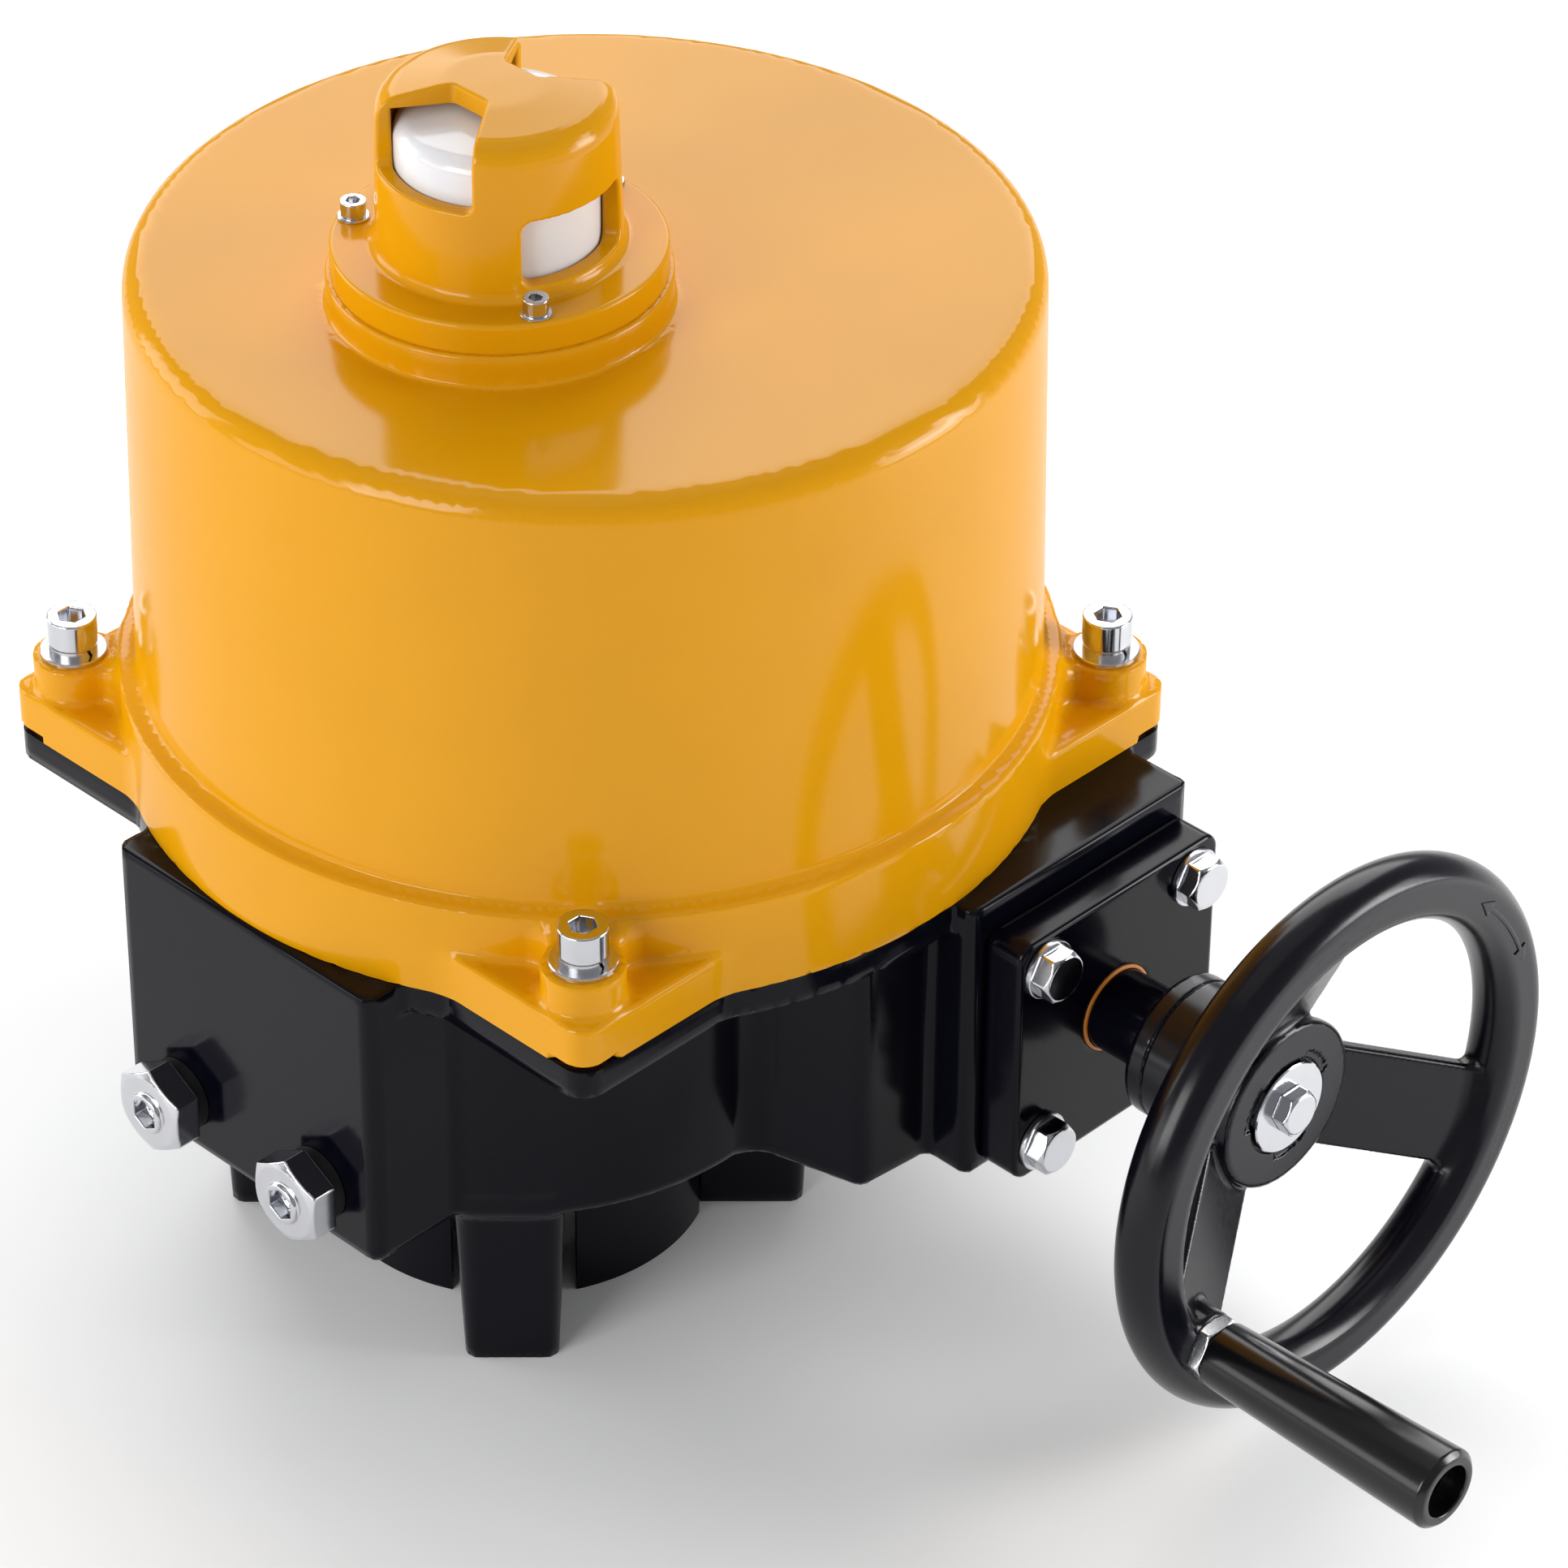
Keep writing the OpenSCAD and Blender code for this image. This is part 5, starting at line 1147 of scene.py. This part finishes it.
@dataclass
class Indicator:
    """The windowed cap, its lens and the pieces that hold it."""

    flange_low: float = 352.0
    top: float = 417.0
    flange_r: float = 51.5
    cavity_r: float = 31.7
    window_split: float = 391.0
    inset: float = 10.6
    cell: float = 0.8

    def _windows(self) -> Solid:
        """The two upper and the two lower windows."""
        wide = math.radians(34.5)
        low_half = 34.0 * math.radians(33.0)

        def upper(p: Points) -> np.ndarray:
            """Distance to the wedge that opens towards +Y and -Y."""
            ahead = np.abs(p[1])
            side = np.abs(p[0]) * math.cos(wide) - ahead * math.sin(wide)
            return soft_max(soft_max(side, self.inset - ahead, 1.0), self.window_split - p[2], 3.0)

        def lower(p: Points) -> np.ndarray:
            """Distance to the windows that open towards +X and -X."""
            ahead = np.abs(p[0])
            arc = 34.0 * np.arctan2(np.abs(p[1]), ahead)
            return np.maximum(plate(arc, p[2] - 377.0, low_half, 11.0, 4.0), 12.0 - ahead)

        return Solid(upper).join(Solid(lower))

    def cap(self) -> Solid:
        """The cap as one solid."""
        flange = rod(self.flange_r, self.flange_low, CAP_FLANGE_TOP, 1.2, 0.6)
        body = turned(rounded([(-40, self.flange_low + 4), (38.0, self.flange_low + 4),
                               (36.3, self.top - 4.6, 8.0), (16.0, self.top - 0.9, 24.0),
                               (-40, self.top + 0.4)]))
        cavity = rod(self.cavity_r, self.flange_low - 9, self.top - 7.7)
        foot = rod(38.7, self.flange_low - 9, self.flange_low + 2)
        holes = Solid(lambda p: np.stack([
            disc(p[0] - CAP_SCREW_R * math.cos(math.radians(a)),
                 p[1] - CAP_SCREW_R * math.sin(math.radians(a)), 2.8) for a in (90, 210, 330)]).min(0))
        whole = flange.join(body, 3.0).cut(cavity).cut(foot)
        return whole.cut(self._windows(), 1.1).cut(holes)

    def build(self, shop: Workshop) -> None:
        """Builds the cap and the lens."""
        reach = self.flange_r
        cap = shaped("indicator_hood", self.cap(), (-reach, -reach, self.flange_low),
                     (reach, reach, self.top), self.cell)
        shop.deliver(cap, "yellow_enamel", "housing", "indicator_cap")
        outer = rounded([(31.4, 354.0), (31.4, 404.5, 6.0), (6.0, 408.4)], 10)[1:-1]
        inner = [(r - 2.0, z - 2.0) for r, z in reversed(outer)]
        profile = [(29.4, 352.0), (38.4, 352.0), (38.4, 354.0), (31.4, 354.0), *outer,
                   (0.0, 408.7), (0.0, 406.7), *inner]
        shop.deliver(lathe("opal_dome", profile, 128), "opal_lens", "housing", "indicator_lens")


@dataclass
class EndPlate:
    """The square plate on the worm housing, with its seal ring, whose orange face also paints the cover's
    reflection, and the shaft's sleeve.
    """

    half: float = 46.0
    gasket_half: float = 44.1
    bearing_out_r: float = 31.0
    spigot_end: float = 146.2
    seal_r: float = 15.2
    seal_t: float = 8.0
    sleeve_r: float = 13.9
    sleeve_start: float = 146.05
    cell: float = 1.0

    def build(self, shop: Workshop) -> None:
        """Builds the plate, the seal ring, whose orange face is also a painted reflection, and the
        sleeve.
        """
        slab = prism(lambda u, v: plate(u, v, self.half, self.half, 6), PLATE_BACK, PLATE_FRONT, 1.6, 0.5)
        spigot = rod(self.bearing_out_r, self.spigot_end, PLATE_BACK + 1)
        bolts = rod(5.5, 140, 190).moved(BOLT_POS, BOLT_POS, 0).mirrored_pairs(0, 0)
        seat = rod(self.seal_r, PLATE_FRONT - self.seal_t, 190)
        whole = slab.join(spigot).cut(rod(14.2, 120, 190)).cut(seat, 0.5).cut(bolts)
        near, far = (WORM_Y - self.half, WORM_Z - self.half), (WORM_Y + self.half, WORM_Z + self.half)
        made = shaped("end_plate_casting", whole.along_x(WORM_Y, WORM_Z), (self.spigot_end, *near),
                      (PLATE_FRONT, *far), self.cell)
        shop.deliver(made, "black_casting", "housing", "end_plate")
        sheet = prism(lambda u, v: plate(u, v, self.gasket_half, self.gasket_half, 5),
                      BLOCK_FACE, PLATE_BACK)
        holes = rod(5.6, 150, 160).moved(BOLT_POS, BOLT_POS, 0).mirrored_pairs(0, 0)
        sheet = sheet.cut(rod(31.6, 150, 160)).cut(holes).along_x(WORM_Y, WORM_Z)
        # Half a face outside the sheet, so that one row of samples lies inside it
        face = PLATE_BACK - BLOCK_FACE
        made = shaped("plate_gasket", sheet, (BLOCK_FACE - face / 2, *near),
                      (PLATE_BACK + face / 2, *far), face)
        shop.deliver(made, "orange_seal", "housing", "end_plate_gasket")
        # The seal ring shows as a thin orange face round the sleeve at the plate: a seal, and also a
        # painted reflection of the yellow cover in the fillet there
        inner = self.sleeve_r + 0.05
        ring = rounded([(inner, 0), (self.seal_r, 0), (self.seal_r, 8.3, 0.5), (inner, 8.7, 0.3)], 4)
        shop.turn_out("orange_seal_ring", ring, onto_x(PLATE_FRONT - self.seal_t, WORM_Y, WORM_Z),
                      "orange_seal", "housing", "shaft_seal_ring")
        length = HUB_BACK - self.sleeve_start
        sleeve = [(SHAFT_R, 0), (self.sleeve_r - 0.5, 0), (self.sleeve_r, 0.5),
                  (self.sleeve_r, length - 0.3), (self.sleeve_r - 0.3, length), (SHAFT_R, length)]
        shop.turn_out("shaft_tube", sleeve, onto_x(self.sleeve_start, WORM_Y, WORM_Z),
                      "black_casting", "worm_line", "shaft_sleeve")


@dataclass
class Handwheel:
    """The dished three-spoke wheel on the worm shaft."""

    hub_front: float = 244.0
    hub_r: float = 24.5
    disc_r: float = 29.0
    rim_x: float = 262.0
    mid_r: float = 84.5
    rim_r: float = 10.5
    spoke_half: float = 17.0
    spoke_t: float = 7.0
    spoke_start: Pair = (20.5, 230.0)
    spoke_end_r: float = 80.5
    first: float = -25.0
    crank_r: float = 77.0
    crank_boss_r: float = 11.2
    spindle_r: float = 4.95
    nut_at: float = 270.0
    nut_t: float = 5.0
    nut_flats: float = 20.0
    grip_gap: float = 0.3
    grip_length: float = 90.0
    flat: float = 1.4
    recess_r: float = 16.6
    cell: float = 1.0

    def crank_place(self) -> Pair:
        """Place of the crank axis in Y and Z."""
        angle = math.radians(self.first - 120)
        return (WORM_Y + self.crank_r * math.cos(angle), WORM_Z + self.crank_r * math.sin(angle))

    def _spokes(self) -> Solid:
        """Three flat dished spokes."""
        start = math.radians(self.first)
        r0, x0 = self.spoke_start
        r1, x1 = self.spoke_end_r, self.rim_x - self.spoke_t / 2
        slope = (x1 - x0) / (r1 - r0)
        square = 1 / math.sqrt(1 + slope * slope)

        def distance(p: Points) -> np.ndarray:
            """Distance to the nearest spoke."""
            y, z = p[1] - WORM_Y, p[2] - WORM_Z
            third = 2 * math.pi / 3
            angle = (np.arctan2(z, y) - start + third / 2) % third - third / 2
            rho = np.hypot(y, z)
            ahead, side = rho * np.cos(angle), rho * np.sin(angle)
            back = (x0 + slope * (ahead - r0) - p[0]) * square
            face = -back - self.spoke_t * square
            d = soft_max(soft_max(back, face, 1.0), np.abs(side) - self.spoke_half, 1.5)
            return np.maximum(d, np.maximum(r0 - 4 - ahead, ahead - r1))

        return Solid(distance)

    def build(self, shop: Workshop) -> None:
        """Builds the wheel."""
        y, z = self.crank_place()
        rim = Solid(lambda p: soft_max(np.hypot(np.hypot(p[1] - WORM_Y, p[2] - WORM_Z) - self.mid_r,
                                                p[0] - self.rim_x) - self.rim_r,
                                       p[0] - self.rim_x - self.rim_r + self.flat, 0.9))
        hub = self._hub().along_x(WORM_Y, WORM_Z)
        boss = rod(self.crank_boss_r, 250, self.nut_at, 1.6).along_x(y, z)
        whole = rim.join(self._spokes().join(hub, 2.5), 4.0).join(boss, 2.0)
        whole = whole.cut(rod(9.8, self.nut_at, 290).along_x(y, z), 0.5)
        whole = whole.cut(rod(self.spindle_r, 240, 290).along_x(y, z))
        reach = self.mid_r + self.rim_r
        made = shaped("handwheel_casting", whole, (HUB_BACK, WORM_Y - reach, WORM_Z - reach),
                      (self.rim_x + self.rim_r, WORM_Y + reach, WORM_Z + reach), self.cell)
        shop.deliver(made, "black_wheel", "worm_line", "handwheel")
        washer = [(4.05, 0), (15.4, 0), (15.8, 0.4), (15.8, 2.7), (15.4, 3.1), (4.05, 3.1)]
        shop.turn_out("hub_washer", washer, onto_x(self.hub_front - 2, WORM_Y, WORM_Z),
                      "bright_steel", "worm_line", "handwheel_washer")
        self._grip(shop, y, z)
        self._arrow(shop)

    def _hub(self) -> Solid:
        """The hub, with its collar groove and its recess for the washer, along +Z."""
        collar, waist = HUB_BACK + 6.5, self.hub_r - 0.7
        hub = turned(rounded([(-20, HUB_BACK), (self.hub_r, HUB_BACK, 2.2),
                              (self.hub_r, collar, 0.5), (waist, collar + 0.7, 0.3),
                              (self.hub_r, collar + 1.4, 0.5), (self.hub_r, self.hub_front - 6, 2.0),
                              (self.disc_r, self.hub_front - 5, 1.5),
                              (self.disc_r, self.hub_front, 1.8), (-20, self.hub_front)]))
        third = 2 * math.pi / 3
        tabs = Solid(lambda p: np.maximum(np.maximum(
            np.hypot(p[0], p[1]) - 19.2,
            (np.abs((np.arctan2(p[1], p[0]) + 0.9) % third - third / 2) - 0.42) * 18),
            self.hub_front - 0.8 - p[2]))
        recess = rod(self.recess_r, self.hub_front - 2, self.hub_front + 9)
        return hub.cut(tabs, 0.2).cut(rod(SHAFT_R, 180, 260)).cut(recess, 0.5)

    def _arrow(self, shop: Workshop) -> None:
        """Builds the raised double arrow on the rim's flat face."""
        start, end = (self.mid_r * math.radians(turn) for turn in (20.0, 49.0))
        head, wing, half = 6.5, 2.7, 0.7
        face = self.rim_x + self.rim_r - self.flat
        upper = [(start, 0.0), (start + head, wing), (start + head, half), (end - head, half),
                 (end - head, wing)]
        outline = upper + [(start + end - u, -v) for u, v in upper]

        def distance(p: Points) -> np.ndarray:
            """Distance to the arrow, which follows the rim."""
            y, z = p[1] - WORM_Y, p[2] - WORM_Z
            d = polygon(self.mid_r * np.arctan2(z, y), np.hypot(y, z) - self.mid_r, outline)
            return np.maximum(soft_max(d, p[0] - face - 0.4, 0.2), face - 0.5 - p[0])

        low = (face - 0.5, WORM_Y + 52.0, WORM_Z + 25.0)
        high = (face + 0.4, WORM_Y + 84.0, WORM_Z + 67.0)
        shop.deliver(shaped("rim_arrow", Solid(distance), low, high, 0.35), "black_wheel", "worm_line")

    def _grip(self, shop: Workshop, y: float, z: float) -> None:
        """Builds the crank's hollow-ended grip."""
        nut_face = self.nut_at + self.nut_t
        length, bore = self.grip_length, (self.spindle_r, self.grip_length - 14)
        profile = rounded([(self.spindle_r, 0), (11.0, 0, 1.0), (13.5, length - 2.0, 1.5),
                           (11.5, length, 1.5), (8.8, length, 0.6), (8.5, length - 14), bore], 5)
        shop.turn_out("grip_sleeve", profile, onto_x(nut_face + self.grip_gap, y, z), "black_grip",
                      "grip", "crank_grip")
        rounder = turned([(-9, -0.1), (10.2, -0.1), (11.8, 1.0), (11.8, 4.1), (10.2, 5.1), (-9, 5.1)])
        nut = prism(hexagon(self.nut_flats, 0.4), 0, self.nut_t).clip(rounder, 0.2)
        nut = nut.cut(rod(5.0, -9, 20)).along_x(y, z).moved(self.nut_at, 0, 0)
        made = shaped("crank_hex_nut", nut, (self.nut_at, y - 12, z - 12),
                      (nut_face, y + 12, z + 12), 0.45)
        shop.deliver(made, "spindle_steel", "worm_line", "crank_nut")


@dataclass
class Fasteners:
    """Every screw, bolt, washer and plug that shows outside."""

    head_z: float = 197.5
    spring_t: float = 2.5
    washer_t: float = 2.0
    seal_t: float = 5.0
    hub_bolt_x: float = 245.1

    def _socket_screw(self, d: float, length: float, cell: float) -> bpy.types.Object:
        """A socket head screw whose head stands on z = 0.

        Args:
            d: thread diameter.
            length: shank length.
            cell: size of a face.

        Returns:
            The screw.
        """
        head = rod(0.8 * d, 0, d, 0.07 * d, 0.03 * d)
        socket = prism(hexagon(0.8 * d, 0.02 * d), d * 0.45, 2 * d)
        shank = rod(d / 2, -length, 1)
        whole = head.cut(socket, 0.04 * d).join(shank)
        return shaped("socket_screw", whole, (-0.8 * d, -0.8 * d, -length), (0.8 * d, 0.8 * d, d), cell)

    def _hex_bolt(self, d: float, length: float, flats: float, cell: float) -> bpy.types.Object:
        """A hexagon bolt whose head stands on z = 0.

        Args:
            d: thread diameter.
            length: shank length.
            flats: width across the flats.
            cell: size of a face.

        Returns:
            The bolt.
        """
        height = 0.65 * d
        corner = flats / math.sqrt(3)
        crown = turned(rounded([(-9, -1), (corner + 1, -1), (corner + 1, height * 0.62),
                                (flats * 0.47, height, 0.8), (-9, height)]))
        head = prism(hexagon(flats, 0.4), 0, height + 1, 0.0, 0.3).clip(crown, 0.2)
        whole = head.join(rod(d / 2, -length, 1))
        return shaped("hex_bolt", whole, (-corner, -corner, -length), (corner, corner, height), cell)

    def _washer(self, outer: float, inner: float, thick: float) -> bpy.types.Object:
        """A flat washer with softened edges, standing on z = 0."""
        soft = min(0.3, thick / 4)
        return lathe("washer", [(inner, 0), (outer - soft, 0), (outer, soft), (outer, thick - soft),
                                (outer - soft, thick), (inner, thick)], 72)

    def _spring_washer(self, outer: float, inner: float, thick: float) -> bpy.types.Object:
        """A split spring washer, standing on z = 0."""
        ring = turned([(inner, 0), (outer, 0), (outer, thick), (inner, thick)])
        split = Solid(lambda p: np.maximum(np.abs(p[1] + (p[2] - thick / 2) * 0.5) - 0.6, -p[0]))
        return shaped("spring_washer", ring.cut(split), (-outer, -outer, 0), (outer, outer, thick), 0.4)

    def _plug(self) -> bpy.types.Object:
        """A hexagon cable entry plug whose hexagon stands on z = 0."""
        crown = turned(rounded([(-9, -1), (18, -1), (18, 7.4), (12.4, 10.0, 0.8), (-9, 10.0)]))
        head = prism(hexagon(27.0, 0.5), 0, 12, 0.0, 0.4).clip(crown, 0.3)
        nose = rod(7.0, 5, 11.5, 0.8)
        socket = prism(hexagon(9.7, 0.2), 7.0, 20)
        cone = turned([(-9, 4.0), (0.5, 4.0), (4.5, 7.2), (4.5, 9), (-9, 9)])
        shank = rod(10.0, -13.0, 1.0)
        whole = head.join(nose, 0.6).cut(socket, 0.3).cut(cone).join(shank)
        return shaped("entry_plug", whole, (-15.6, -15.6, -13), (15.6, 15.6, 11.5), 0.55)

    def build(self, shop: Workshop) -> None:
        """Builds every outside fastener."""
        ears = Repeat(Pattern.GRID, 2, 2, 2 * SCREW_POS, 2 * SCREW_POS, (0, COVER_Y, self.head_z))
        spring = self.head_z - self.spring_t
        face = Repeat(Pattern.GRID, 2, 2, 2 * BOLT_POS, 2 * BOLT_POS, (PLATE_FRONT, WORM_Y, WORM_Z),
                      (0.0, 90.0, 0.0))
        cap = Repeat(Pattern.RING, 3, 1, CAP_SCREW_R, 0.0, (0, 0, CAP_FLANGE_TOP), (0.0, 0.0, 90.0))
        entry = Repeat(Pattern.GRID, 2, 1, 2 * ENTRY_X, 0.0, (0, -BOX_FACE, ENTRY_Z), (90.0, 0.0, 0.0))
        jobs = [
            ("cover_cap_screws", self._socket_screw(d=10, length=41.5, cell=0.5), "bright_steel", ears,
             "cover_screws"),
            ("cover_spring_washers", self._spring_washer(8.0, 5.05, self.spring_t), "washer_steel",
             ears.at(z=spring), "cover_lock_washers"),
            ("cover_washers", self._washer(10.7, 5.05, self.washer_t), "washer_steel",
             ears.at(z=spring - self.washer_t), "cover_flat_washers"),
            ("plate_hex_bolts", self._hex_bolt(d=10, length=34.8, flats=16, cell=0.55), "bright_steel",
             face.at(x=PLATE_FRONT + self.washer_t), "end_plate_bolts"),
            ("plate_washers", self._washer(10.0, 5.05, self.washer_t), "washer_steel", face,
             "end_plate_washers"),
            ("hood_screws", self._socket_screw(d=5, length=18, cell=0.35), "bright_steel",
             cap.at(z=CAP_FLANGE_TOP + 1), "indicator_cap_screws"),
            ("hood_washers", self._washer(5.0, 2.55, 1.0), "washer_steel", cap, "indicator_cap_washers"),
            ("entry_plugs", self._plug(), "bright_steel", entry.at(y=-BOX_FACE - self.seal_t),
             "cable_plugs"),
            ("entry_seals", self._washer(12.5, SHAFT_R, self.seal_t), "black_rubber", entry,
             "plug_seals"),
        ]
        for name, part, slot, repeat, node in jobs:
            shop.deliver(repeat.build(name, part, shop.finishes[slot]), slot, "housing", node)
        bolt = place(self._hex_bolt(d=8, length=30, flats=14, cell=0.5),
                     onto_x(self.hub_bolt_x, WORM_Y, WORM_Z))
        bolt.name = "hub_bolt"
        shop.deliver(bolt, "bright_steel", "worm_line", "handwheel_bolt")


@dataclass
class Studio:
    """Pale floor, soft lights and the camera at the photograph's angle."""

    azimuth: float = 44.1091
    elevation: float = 35.5674
    distance_mm: float = 2151.2276
    shift_right: float = 62.1567
    shift_up: float = -18.9345
    roll: float = 0.0086
    lens_px: float = 8238.2763
    frame_px: float = 1932.0

    def _light(self, name: str, spot: Triple, size: Pair, power: float,
               target: Triple = (0.0, 0.036, 0.2)) -> None:
        """Adds one softbox.

        Args:
            name: its name.
            spot: its place in metres.
            size: width and height in metres.
            power: watts.
            target: the point that it faces, the actuator's middle unless it is given.
        """
        data = bpy.data.lights.new(name, "AREA")
        data.shape = "RECTANGLE"
        data.size, data.size_y = size
        data.energy = power
        lamp = bpy.data.objects.new(name, data)
        aim = Vector(target) - Vector(spot)
        lamp.matrix_world = Matrix.Translation(spot) @ aim.to_track_quat("-Z", "Y").to_matrix().to_4x4()
        bpy.context.scene.collection.objects.link(lamp)

    def _floor(self) -> None:
        """Adds the pale floor."""
        mesh = bpy.data.meshes.new("floor")
        half = 12.0
        mesh.from_pydata([(-half, -half, 0), (half, -half, 0), (half, half, 0), (-half, half, 0)],
                         [], [(0, 1, 2, 3)])
        floor = make_object("floor", mesh)
        bench = Bench("floor_paper")
        tone = bench.shade(bench.noise(300.0, 1.0), (0.93, 0.93, 0.93), (0.95, 0.95, 0.95))
        mesh.materials.append(bench.finish({"Base Color": tone, "Roughness": 0.9}))

    def _camera(self) -> None:
        """Adds the camera."""
        a, e = math.radians(self.azimuth), math.radians(self.elevation)
        back = Vector((math.sin(a) * math.cos(e), -math.cos(a) * math.cos(e), math.sin(e)))
        right0 = Vector((math.cos(a), math.sin(a), 0.0))
        up0 = back.cross(right0)
        right = right0 * math.cos(self.roll) + up0 * math.sin(self.roll)
        up = up0 * math.cos(self.roll) - right0 * math.sin(self.roll)
        target = Vector((0.0, COVER_Y, PARTING)) + right0 * self.shift_right + up0 * self.shift_up
        spot = (target + back * self.distance_mm) * MM
        data = bpy.data.cameras.new("camera")
        data.sensor_width = 36.0
        data.lens = self.lens_px / self.frame_px * data.sensor_width
        data.clip_end = 50.0
        camera = bpy.data.objects.new("camera", data)
        turn = Matrix((right, up, back)).transposed().to_4x4()
        camera.matrix_world = Matrix.Translation(spot) @ turn
        bpy.context.scene.collection.objects.link(camera)
        bpy.context.scene.camera = camera

    def build(self) -> None:
        """Sets up the studio."""
        self._camera()
        self._floor()
        world = bpy.data.worlds.new("studio")
        world.use_nodes = True
        sky = world.node_tree.nodes["Background"]
        sky.inputs["Color"].default_value = (0.97, 0.98, 1.0, 1.0)
        sky.inputs["Strength"].default_value = 0.32
        bpy.context.scene.world = world
        bpy.context.scene.view_settings.view_transform = "Standard"
        self._light("sky_panel", (-1.6, 1.7, 1.9), (3.2, 2.2), power=75.0)
        self._light("left_panel", (-2.2, -1.0, 0.8), (1.4, 1.2), power=20.0)
        self._light("front_panel", (0.2, -2.6, 1.2), (1.4, 1.2), power=36.0)
        self._light("top_panel", (0.0, 0.1, 2.6), (2.0, 2.0), power=4.0)
        self._light("right_panel", (2.2, 2.0, 0.9), (1.0, 1.3), power=32.0)
        self._light("low_panel", (-0.9, -2.2, 0.6), (1.6, 0.7), power=9.0)
        self._light("floor_panel", (0.75, 0.6, 0.3), (0.5, 0.4), power=3.4, target=(0.3, 0.2, 0.0))


def main() -> None:
    """Builds the actuator's looks in order and reports each piece."""
    logging.basicConfig(level=logging.INFO, format="%(message)s", stream=sys.stdout)
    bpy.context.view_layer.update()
    shop = Workshop(Finishes())
    shop.dress_nodes()
    Studio().build()
    for assembly in (CoverShell(), BaseCasting(), Indicator(), EndPlate(), Handwheel(), Fasteners()):
        assembly.build(shop)
        LOG.info("built %s", type(assembly).__name__)


if __name__ == "__main__":
    main()
